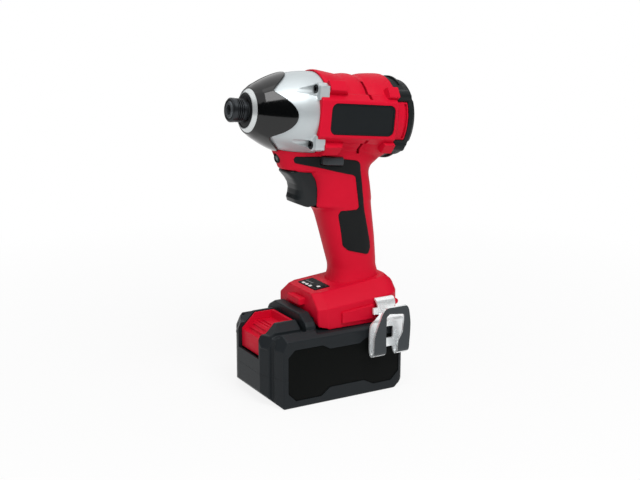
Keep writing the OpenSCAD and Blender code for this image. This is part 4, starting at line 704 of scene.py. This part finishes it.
panelPlace = Matrix.Translation(panel["middle"] * mm) @ Matrix.Rotation(math.radians(panel["lean"]), 4, "Y") \
    @ Matrix.Translation(-panel["middle"] * mm)
archEnd = foot["archHalf"]
footArch = [(y, foot["arch"] - foot["archDrop"] * y * y) for y in range(-archEnd, archEnd + 1, 2)]
triggerRoom = trigger["half"] + trigger["gap"]
cut(housing, onHead(box((2.1, 60), (-triggerRoom, triggerRoom), (-65.6, -39.1)), "triggerPocket"),
    onHead(box(*selector["hole"]), "selectorHole"),
    onHead(box(selector["pocketX"], span(1, selector["pocketIn"], 40), selector["pocketZ"], 0.6),
           "selectorPocketLeft"),
    onHead(box(selector["pocketX"], span(-1, selector["pocketIn"], 40), selector["pocketZ"], 0.6),
           "selectorPocketRight"),
    toObject(box((-33, 60), (-17.4, 17.4), (40, 55.3)), "railNeck"),
    toObject(box((-33, 60), (-21.4, 21.4), (54.2, 58.5)), "railFlange"),
    toObject(slab(footArch + [(archEnd, 40), (-archEnd, 40)], 21.5, 60, "X"), "frontArch"),
    toObject(slab(plate(panel["bedX"], panel["bedY"], 1.2), panel["back"], 90, "Z"), "panelBed", panelPlace),
    toObject(rod(36, 52, light["bore"]), "lightBore", lightPlace))
print("housing cut:", len(housing.data.polygons))

gripOutline = [(39.1, 171.5, 1), (37.9, 173.3, 1), (17.3, 172, 3), (-7.9, 167.6, 3), (-10.8, 165.2, 3),
               (-11.6, 161.4, 2), (-15.6, 131.7, 4), (-21, 108.9, 6), (-21.9, 102.3, 3), (-19.7, 97.2, 2.4),
               (-3, 102.1, 5), (0.7, 105.7, 4), (2.2, 114.8, 5), (5.2, 128.9, 1.6), (3.8, 131.9, 1.4),
               (-9, 131.8, 1.5), (-10.8, 133.4, 1.5), (-7.3, 155.6, 2), (-5.2, 157.4, 2), (-0.2, 158.5, 3),
               (17.3, 163.4, 6), (38.3, 168.6, 2)]
gripPad = {"proud": 0.55, "deep": 1.0, "voxel": 0.36, "passes": 3}
gripBase = remoulded(handleForm("gripBase"), 0.7, 5)
gripOuter = swollen(gripBase, gripPad["proud"], "gripOuter")
gripInner = swollen(gripBase, -gripPad["deep"], "gripInner")
for side, name, node in ((1, "gripLeft", "grip_left"), (-1, "gripRight", "grip_right")):
    grip = copied(gripOuter, name)
    combined(grip, "INTERSECT", toObject(slab(rounded(gripOutline, 5), *span(side, 3, 40), "Y"), "gripPlan"))
    cut(grip, copied(gripInner, "gripCore"))
    bed = copied(grip, "gripBed")
    cut(grip, onHead(box((0.5, 16.7), (-40, 40), (-33.8, -27.5), 0.6), "selectorGap"))
    cut(housing, bed)
    remoulded(grip, gripPad["voxel"], gripPad["passes"])
    finished(grip, blackRubber, "tool", "soft_rubber", node)
for spare in (gripBase, gripOuter, gripInner):
    bpy.data.objects.remove(spare)
print("grips made")

for side, name, node in ((1, "housingLeft", "housing_left"), (-1, "housingRight", "housing_right")):
    shell = halfOf(housing, name, (0, side * handle["parting"] * mm, 0), (0, side, 0))
    finished(shell, redNylon, "tool", "red_plastic", node)
bpy.data.objects.remove(housing)

badgePlates = onHead(merged(*[slab(badgePlan(0, badge["radius"], 8), *span(side, badge["back"], badge["out"]), "Y",
                                   badge["edge"]) for side in sides]), "sideBadges")
for side in sides:
    cut(badgePlates, onHead(slab(badgePlan(-badge["border"], 3.5, 8), *span(side, badge["floor"], 34), "Y"),
                            "badgeFloor"))
finished(softened(badgePlates), badgeBlack, "tool", "badge_plastic", "side_badges")

cover = {"profile": [(-34.2, 24.7), (-34.2, 29.2), (-34.6, 29.6), (-46.6, 29.6), (-47.4, 29.0), (-49.0, 28.0),
                     (-50.0, 26.6), (-50.3, 24.2), (-50.4, 12), (-50.4, 0), (-48, 0), (-48, 24.7)],
         "front": -34.2, "bossRadius": 4.5, "bossEnd": -43.4, "seat": -41.8, "well": 3.3, "headHeight": 1.2,
         "frameTop": 17.6, "step": band((-60, -42.6), (27.2, 40)), "trough": band((-41.2, -36.2), (28.3, 40)),
         "edge": 0.35}
coverBody = onHead(turned(cover["profile"]), "rearCover")
for rise in sides:  # the top and the bottom lie lower than the side frames
    cut(coverBody, arcPiece("coverStep", cover["step"], (-70, -20), (-40, 40), span(rise, cover["frameTop"], 45)),
        arcPiece("coverBand", cover["trough"], (-60, -20), (-17, 17), span(rise, 16, 40)))
for side in sides:
    cut(coverBody, onHead(box((-43.2, -20), span(side, 10, 40), (-13.6, 13.6)), "tabWindow"))
    for rise in sides:
        y, z = side * barrel["coverScrewY"], rise * barrel["coverScrewZ"]
        joinedUp(coverBody, onHead(rod(cover["bossEnd"], cover["front"], cover["bossRadius"], y, z), "coverBoss"))
        cut(coverBody, onHead(rod(-60, cover["seat"], cover["well"], y, z), "coverWell"))
softened(bevelled(coverBody, cover["edge"], 2, 40))
finished(coverBody, coverBlack, "tool", "black_plastic", "rear_cover")
screwSet("coverScrews", coverScrew, blackSteel, "rear_cover_screws", cover["seat"] - cover["headHeight"],
         barrel["coverScrewY"], barrel["coverScrewZ"], math.pi)
print("rear cover made")

# trigger, selector and light

triggerLine = rounded([(x, z, 1.2 if i in trigger["roundCorners"] else 0.4)
                       for i, (x, z) in enumerate(trigger["outline"])], 4)
triggerRings = []
for y in trigger["stations"]:  # the finger side curls back towards both edges
    over = max(0, abs(y) - trigger["flat"]) / (trigger["half"] - trigger["flat"])
    pull = trigger["curl"] * (1 - math.sqrt(max(0, 1 - over * over)))
    triggerRings.append([(x - pull * min(1, max(0, (x - trigger["curlFrom"]) / trigger["curlOver"])), y, z)
                         for x, z in triggerLine])
triggerBody = toObject(skinned(triggerRings), "triggerBlade", headPlace, 40)
finished(triggerBody, triggerBlack, "trigger", "black_plastic", "trigger")

selectorBody = onHead(box(*selector["waist"], 0.3), "directionSelector")
for side in sides:  # a block at each end, on a waist inside the housing
    selectorEnd = rounded([(x, side * y, radius) for x, y, radius in selector["end"]])
    joinedUp(selectorBody, onHead(slab(selectorEnd, *selector["endZ"], "Z", 1.0), "selectorEnd"))
finished(softened(selectorBody), selectorGrey, "selector", "black_plastic", "direction_selector")

bezel = toObject(turned(light["bezel"], 48), "lightBezel", lightPlace)
finished(bezel, coverBlack, "tool", "black_plastic", "work_light_bezel")
lens = toObject(turned(light["lens"], 48), "lightLens", lightPlace)
finished(lens, clearLens, "tool", "clear_lens", "work_light_lens")

# control panel on the foot


def onPanel(bm, name):
    return toObject(bm, name, panelPlace)


panelPlate = onPanel(slab(plate(panel["x"], panel["y"], 1), panel["back"], panel["top"], "Z", 0.35), "controlPanel")
cut(panelPlate, onPanel(slab(plate((12.9, 20.1), (1.9, 11.1), 1.1), 70, 80, "Z"), "buttonWindow"))
finished(softened(panelPlate), panelBlack, "tool", "panel_plastic", "control_panel")
buttonPlate = onPanel(slab(plate((13.1, 19.9), (2.1, 10.9), 1), 74.8, 76.75, "Z", 0.4), "modeButton")
finished(buttonPlate, panelBlack, "mode_button", "panel_plastic", "panel_button")
lamps = merged(*[slab(plate((15.4, 17.6), (y - 1, y + 1), 0.4, 3), 75.6, 76.58, "Z", 0.1)
                 for y in (-9.4, -6.0, -2.6)])
finished(onPanel(lamps, "panelLights"), smokedWindow, "tool", "white_lamp", "panel_lights")
panelMarks = merged(*[slab(plate((19.8, 22.1), (y - half, y + half), 0.5, 3), 76.4, 76.56, "Z")
                      for y, half in ((-7.6, 1.7), (-2.6, 1.4), (2.2, 1.5))])
finished(onPanel(panelMarks, "panelMarks"), whitePrint, "tool", "white_lamp")
buttonMark = slab(plate((16.4, 18.9), (7.2, 10.2), 0.9, 4), 76.6, 76.82, "Z")
finished(onPanel(buttonMark, "buttonMark"), whitePrint, "mode_button", "white_lamp")
print("controls made")

# battery

pack = {"half": 37.1, "back": -37.9, "seam": 22, "seamGap": 0.05, "slot": 15.75, "voxel": 0.46, "passes": 1,
        "corner": [(70, 17.6), (69.4, 19.0), (66.7, 25.2), (64.3, 25.4), (62.9, 28.3), (64.9, 29.4)],
        "sideFront": 61.4, "rows": ((0, 0.7), (0.8, 0), (48.6, 0), (50.5, 2.6)),
        "horn": [(41, 46), (41, 57.5), (57.4, 57.5), (70, 44.9), (70, 42), (50, 42)], "hornHalf": 24.6,
        "hornSlope": [(17.8, 57.7), (25.2, 52.4), (25.2, 62), (17.8, 62)],
        "shoulder": [(29.6, 47), (29.6, 52.2), (31.2, 52.7), (37.1, 48.7), (37.1, 47)],
        "bridge": [(29.4, 49), (29.4, 54.6), (27.2, 57.6), (18.6, 62.4)],
        "cornerLean": Vector((0.819, 0.414, 0.395)), "cornerReach": 82.4,
        "noseWedge": [(60.7, -2), (60.7, 0), (70.7, 9.4), (75, 9.4), (75, -2)],
        "tailWedge": [(-30, -2), (-30, 0), (-38.4, 7.4), (-45, 7.4), (-45, -2)],
        "buttonSlot": [(59.3, 28.4), (59.3, 70), (80, 70), (80, 33.8), (68.1, 32.4), (68.1, 28.4)],
        "panelBed": 35.9, "panelBack": 35.8, "panelOut": 36.75}


def packPlan(z, inset):
    corners = [(x - inset, y - 0.4 * inset, 0.3) for x, y in pack["corner"]]
    corners += [(pack["sideFront"] - inset, pack["half"] - inset, 0.8), (pack["back"] + inset, pack["half"] - inset, 5)]
    outline = corners + [(x, -y, r) for x, y, r in reversed(corners)]
    return [(x, y, z) for x, y in rounded(outline, 5)]


packBody = toObject(skinned([packPlan(*row) for row in pack["rows"]]), "packBody")
hornBody = toObject(slab(pack["horn"], -pack["hornHalf"], pack["hornHalf"], "Y"), "horn")
for side in sides:
    hornSlope = [(side * y, z) for y, z in pack["hornSlope"]]
    cut(hornBody, toObject(slab(hornSlope, 30, 80, "X"), "hornSlope"))
    shoulder = [(side * y, z) for y, z in pack["shoulder"]]
    joinedUp(packBody, toObject(slab(shoulder, 33, 60.5, "X"), "shoulder"))
bridge = [(-y, z) for y, z in pack["bridge"]] + pack["bridge"][::-1]
joinedUp(packBody, hornBody,
         toObject(slab(bridge, 31.2, 39.4, "X", 0.9, 2), "bridge"),
         toObject(box((-30, 32), (-17, 17), (50, 55)), "railNeck"),
         toObject(box((-30, 32), (-21, 21), (54.5, 58.1)), "railFlange"))
for side in sides:
    leanX, leanY, leanZ = pack["cornerLean"]
    lean = Vector((leanX, side * leanY, leanZ)).normalized()
    place = Matrix.Translation(lean * pack["cornerReach"] * mm) @ lean.to_track_quat("X", "Z").to_matrix().to_4x4()
    cut(packBody, toObject(box((0, 40), (-60, 60), (-60, 60)), "cornerPlane", place))
cut(packBody, toObject(slab(pack["noseWedge"], -50, 50, "Y"), "noseWedge"),
    toObject(slab(pack["tailWedge"], -50, 50, "Y"), "tailWedge"))
remoulded(packBody, pack["voxel"], pack["passes"])
print("pack skin:", len(packBody.data.polygons))
slotWidth = (-pack["slot"], pack["slot"])
cut(packBody, toObject(box((41, 59.6), slotWidth, (44.6, 70)), "buttonWell"),
    toObject(box((54.1, 59.6), slotWidth, (42.8, 50)), "dishRoom"),
    toObject(slab(pack["buttonSlot"], *slotWidth, "Y"), "buttonSlot"))
for i in range(4):
    y = (i - 1.5) * 8
    cut(packBody, toObject(box((-31, -5), (y - 2, y + 2), (51.5, 60)), "clipSlot"))

panelOutline = [(51.5, 5, 1), (57.6, 11, 2), (57.6, 37.6, 2), (52.5, 42.6, 2), (30, 42.6, 2), (24, 39.2, 2),
                (0, 39.2, 2), (-6, 42.6, 2), (-28, 42.6, 2), (-33.5, 37, 2), (-33.5, 13, 2), (-27, 6.5, 2),
                (-12, 6.5, 2), (-4, 10.5, 2), (24, 10.5, 2), (31, 5, 2)]
insetOutline = rounded([(u * 0.994 + 0.07, v * 0.99 + 0.25, r) for u, v, r in panelOutline], 4)
for side in sides:
    cut(packBody, toObject(slab(rounded(panelOutline, 4), *span(side, pack["panelBed"], 40), "Y"), "panelBed"))
sidePanels = merged(*[slab(insetOutline, *span(side, pack["panelBack"], pack["panelOut"]), "Y", 0.3)
                      for side in sides])
finished(toObject(sidePanels, "packSidePanels"), packPanelBlack, "battery", "pack_panel", "battery_side_panels")

for name, node, keep in (("packTray", "battery_tray", -1), ("packLid", "battery_lid", 1)):
    shell = halfOf(packBody, name, (0, 0, (pack["seam"] + keep * pack["seamGap"]) * mm), (0, 0, keep))
    finished(shell, packGrey, "battery", "pack_plastic", node)
bpy.data.objects.remove(packBody)

# release button: a finger dish between two cheeks, with grip bars across its slope
button = {"half": 15.3, "cheek": 13.7, "bars": [(52.4, 51.3, 0), (55.8, 51.2, 0), (59.4, 49.8, 45), (61.9, 47.3, 45)],
          "side": [(41.5, 49.6), (41.5, 57.0), (57.2, 57.0), (67.5, 46.7), (67.5, 33.2), (59.9, 33.2), (59.9, 47.6),
                   (54.6, 47.6), (54.6, 49.6)],
          "dish": [(43.7, 60, 0), (44.5, 51.4, 0.8), (58.0, 51.0, 0.8), (63.5, 45.5, 0.8), (65.8, 45.3, 0.8),
                   (66.5, 46.2, 0.8), (70, 46.2, 0), (70, 60, 0)],
          "bar": ((-0.7, 0.7), (-12.2, 12.2), (-1.0, 0.7))}
releaseButton = toObject(slab(rounded([(x, z, 0.5) for x, z in button["side"]], 3), -button["half"], button["half"],
                              "Y", 0.4), "releaseButton")
cut(releaseButton, toObject(slab(rounded(button["dish"], 4), -button["cheek"], button["cheek"], "Y"), "dish"))
for x, z, lean in button["bars"]:
    joinedUp(releaseButton, toObject(box(*button["bar"], 0.35), "gripBar", Matrix.Translation((x * mm, 0, z * mm))
                                     @ Matrix.Rotation(math.radians(lean), 4, "Y")))
finished(softened(releaseButton), redNylon, "release", "red_plastic", "release_button")
print("battery made")

# belt hook: one sheet pressing, bent round at the bottom of two legs into a leaning outer frame

hook = {"sheet": 1.6, "across": 18, "foot": 31.0, "footOut": 45.8, "lean": 0.2267, "edge": 0.4, "paintedReflectionFrom": 44.2,
        "outerWindow": [(-14.3, 63.3, 1.6), (-26.5, 61.6, 1.6), (-27.3, 56.8, 2), (-27.9, 47.1, 2), (-25.2, 40.5, 2),
                        (-26.1, 33.1, 1), (-26.1, 20, 0), (-16.4, 20, 0), (-16.4, 32.5, 1), (-14.3, 44.8, 3),
                        (-12.2, 61.2, 1.6)],
        "legGap": [(-25.9, 20, 0), (-17, 20, 0), (-17, 34.6, 1.5), (-25.9, 34.6, 1.5)],
        "innerWindow": [(-25.8, 40.6, 0.8), (-19.7, 40.9, 0.8), (-19.9, 49.8, 0.8), (-25.8, 49.4, 0.8)],
        "ear": [(-19, 57.6, 0.5), (-12.4, 58.0, 0.6), (-12.2, 62.8, 0.6), (-19, 62.6, 0.5)]}
# rows of the sheet: out, up, rear edge and front edge; the outer frame's rows follow its lean
hookInner = [(31.4, 68.4, -30.6, -15.3), (33.0, 67.9, -30.6, -15.3), (34.2, 66.2, -30.8, -15.6),
             (34.8, 63.4, -30.6, -16.1), (35.0, 61.0, -29.0, -16.6), (35.4, 58.6, -27.4, -17.0),
             (37.0, 56.9, -28.0, -15.6), (39.2, 55.6, -32.0, -11.6), (40.1, 53.8, -34.4, -8.8),
             (40.2, 51.4, -35.2, -7.0), (40.2, 46, -35.5, -6.4), (40.2, 38, -35.6, -6.3), (40.3, 33.4, -35.6, -6.3),
             (41.1, 31.0, -35.6, -6.2), (43.0, 29.9, -35.6, -6.1), (44.9, 31.0, -35.6, -6.0)]
hookOuter = [(33.2, -35.6, -5.9), (38, -35.2, -5.4), (46, -34.5, -4.7), (53.3, -33.5, -5.8), (58, -32.4, -6.9),
             (63.4, -30.8, -8.1), (65.4, -30.0, -8.9), (67.2, -28.9, -10.2), (68.1, -27.8, -11.6), (68.4, -26.8, -13.2)]
hookPath = hookInner + [(hook["footOut"] + (z - hook["foot"]) * hook["lean"], z, low, high)
                        for z, low, high in hookOuter]
bm = bmesh.new()
rows = []
for y, z, xLow, xHigh in eased(hookPath, 4):
    verts = [bm.verts.new((xLow + (xHigh - xLow) * i / hook["across"], y, z)) for i in range(hook["across"] + 1)]
    rows.append([bm.edges.new(pair) for pair in zip(verts, verts[1:])])
beltHook = toObject(bridged(bm, rows), "beltHook")
sheetMod = beltHook.modifiers.new("sheet", "SOLIDIFY")
sheetMod.thickness = hook["sheet"] * mm
sheetMod.offset = 0
applied(beltHook)
cut(beltHook, toObject(slab(rounded(hook["outerWindow"]), 43.0, 70, "Y"), "outerWindow"),
    toObject(slab(rounded(hook["legGap"]), 36, 43.01, "Y"), "legGap"),
    toObject(slab(rounded(hook["innerWindow"]), 36, 43, "Y"), "innerWindow"))
joinedUp(beltHook, toObject(slab(rounded(hook["ear"]), 34.1, 35.7, "Y"), "sideEar"))
evened(softened(bevelled(beltHook, hook["edge"], 2, 50)))
finished(beltHook, chromeSteel, "tool", "chrome_steel", "belt_hook")
# second finish: a painted dark reflection on the faces of the outer frame that face outwards
beltHook.data.materials.append(paintedDarkReflectionChrome)  # on the outer faces of the frame
for face in beltHook.data.polygons:
    face.material_index = int(face.normal.y > 0.75 and face.center.y > hook["paintedReflectionFrom"] * mm)
print("hook made")

# each spring stands between two bodies; it is copied from the frame in ground steel, and the frame's own is hidden

for name, node, still, moving, axis in (("latchSpring", "latch_spring", "battery", "release", Vector((0, 0, 1))),
                                        ("hammerSpring", "hammer_spring", "spindle", "striker", headAxis)):
    spring = copied(frame["nodes"][node], name)
    spring.data.materials.clear()
    spring.data.materials.append(toolSteel)
    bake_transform(spring)
    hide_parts(node)
print("springs made")

# inner pieces stay as the frame has them, with the finish of their slot

for name, node in frame["nodes"].items():
    slot = node.get("slot") or (node.data.materials[0].name.split(".")[0] if node.data.materials else "")
    material = slotMaterials.get(slot)
    if material is None:
        print("no finish for", name, slot)
        continue
    node.data.materials.clear()
    node.data.materials.append(material)

# studio

view = {"right": (-0.86767, 0.49713, 0.00353), "up": (-0.11779, -0.21249, 0.97004),
        "back": (0.48298, 0.84126, 0.24293), "place": (0.43755, 0.74197, 0.3226), "focalPixels": 1224.89,
        "pixels": 640, "sensor": 36}
camera = linked("camera", bpy.data.cameras.new("camera"))
axes = zip(view["right"], view["up"], view["back"], view["place"])
camera.matrix_world = Matrix([*axes, (0, 0, 0, 1)])
camera.data.sensor_width = view["sensor"]
camera.data.lens = view["focalPixels"] / view["pixels"] * view["sensor"]
camera.data.dof.use_dof = False
bpy.context.scene.camera = camera


def softBox(name, place, aimHeight, width, height, watts):
    lamp = bpy.data.lights.new(name, "AREA")
    lamp.shape = "RECTANGLE"
    lamp.size, lamp.size_y = width, height
    lamp.energy = watts
    obj = linked(name, lamp)
    obj.location = place
    obj.rotation_euler = (Vector((0, 0, aimHeight)) - Vector(place)).to_track_quat("-Z", "Y").to_euler()
    return obj


softBox("key", (0.12, 0.62, 1.05), 0.12, 0.9, 0.6, 8.2)
softBox("overhead", (0, 0, 1.15), 0.12, 0.9, 0.6, 1.0)
for fill in (softBox("leftFill", (1.15, 0.35, 0.45), 0.12, 0.7, 0.9, 1.4),
             softBox("frontFill", (0.1, 1.3, 0.75), 0.1, 0.9, 0.5, 3.4)):
    fill.visible_glossy = False


def seenRays(tree):  # 1 for what the camera sees, also in reflections and through glass
    path = addNode(tree, "ShaderNodeLightPath").outputs
    direct = addNode(tree, "ShaderNodeMath", {0: path["Is Camera Ray"], 1: path["Is Glossy Ray"]},
                     operation="MAXIMUM")
    return addNode(tree, "ShaderNodeMath", {0: direct.outputs[0], 1: path["Is Transmission Ray"]},
                   operation="MAXIMUM").outputs[0]


# the paper shows the shadow near the tool and fades to white away from it
paperSheet = {"half": 6000, "below": 0.0002, "fadeFrom": 0.15, "fadeTo": 0.55, "nearShare": 0.86}
stageFloor = bmesh.new()
bmesh.ops.create_grid(stageFloor, x_segments=1, y_segments=1, size=paperSheet["half"])
floor = toObject(stageFloor, "studioFloor")
floor.location.z = -paperSheet["below"]
paper, paperTree, paperShader, paperCoords = newMaterial("white_paper_floor")
paperShader.inputs["Base Color"].default_value = linear("#f2f2f2")
paperShader.inputs["Roughness"].default_value = 0.9
away = addNode(paperTree, "ShaderNodeVectorMath", {0: paperCoords}, operation="LENGTH")
lift = addNode(paperTree, "ShaderNodeMapRange", {"Value": away.outputs["Value"], "From Min": paperSheet["fadeFrom"],
                                                 "From Max": paperSheet["fadeTo"],
                                                 "To Min": paperSheet["nearShare"], "To Max": 1.0})
share = addNode(paperTree, "ShaderNodeMath", {0: seenRays(paperTree), 1: lift.outputs["Result"]},
                operation="MULTIPLY")
glow = addNode(paperTree, "ShaderNodeEmission", {"Color": (1, 1, 1, 1), "Strength": 1.0})
mix = addNode(paperTree, "ShaderNodeMixShader", {0: share.outputs[0], 1: paperShader.outputs[0],
                                                 2: glow.outputs[0]})
paperTree.links.new(mix.outputs[0], paperTree.nodes["Material Output"].inputs["Surface"])
floor.data.materials.append(paper)

# dark cards beside and behind the camera and low at the back, seen only in reflections, as a studio hangs them
# so that dark plastic and bright metal keep their contrast
cards = {"reach": 1700, "below": 100, "backTop": 560}
cardBlack, _, cardShader, _ = newMaterial("black_felt_card")
cardShader.inputs["Base Color"].default_value = linear("#0a0a0a")
cardShader.inputs["Roughness"].default_value = 1.0


def darkCard(bm, name):
    card = toObject(bm, name)
    card.data.materials.append(cardBlack)
    card.visible_camera = card.visible_diffuse = card.visible_shadow = card.visible_transmission = False


room = (-cards["reach"], cards["reach"])
walls = box(room, room, (-cards["below"], cards["reach"]))
openSides = [f for f in walls.faces if f.normal.y < -0.9 or abs(f.normal.z) > 0.9]
bmesh.ops.delete(walls, geom=openSides, context="FACES")
darkCard(walls, "studioWalls")
darkCard(box(room, (room[0] - 1, room[0]), (0, cards["backTop"])), "backCard")

sky = bpy.data.worlds.new("studio")
bpy.context.scene.world = sky
sky.use_nodes = True
skyTree = sky.node_tree
skyTree.nodes.clear()
ambient = addNode(skyTree, "ShaderNodeBackground", {"Color": (1, 1, 1, 1), "Strength": 0.36})
white = addNode(skyTree, "ShaderNodeBackground", {"Color": (1, 1, 1, 1), "Strength": 1.0})
skyMix = addNode(skyTree, "ShaderNodeMixShader", {0: seenRays(skyTree), 1: ambient.outputs[0], 2: white.outputs[0]})
addNode(skyTree, "ShaderNodeOutputWorld", {"Surface": skyMix.outputs[0]})

bpy.context.scene.view_settings.view_transform = "Standard"
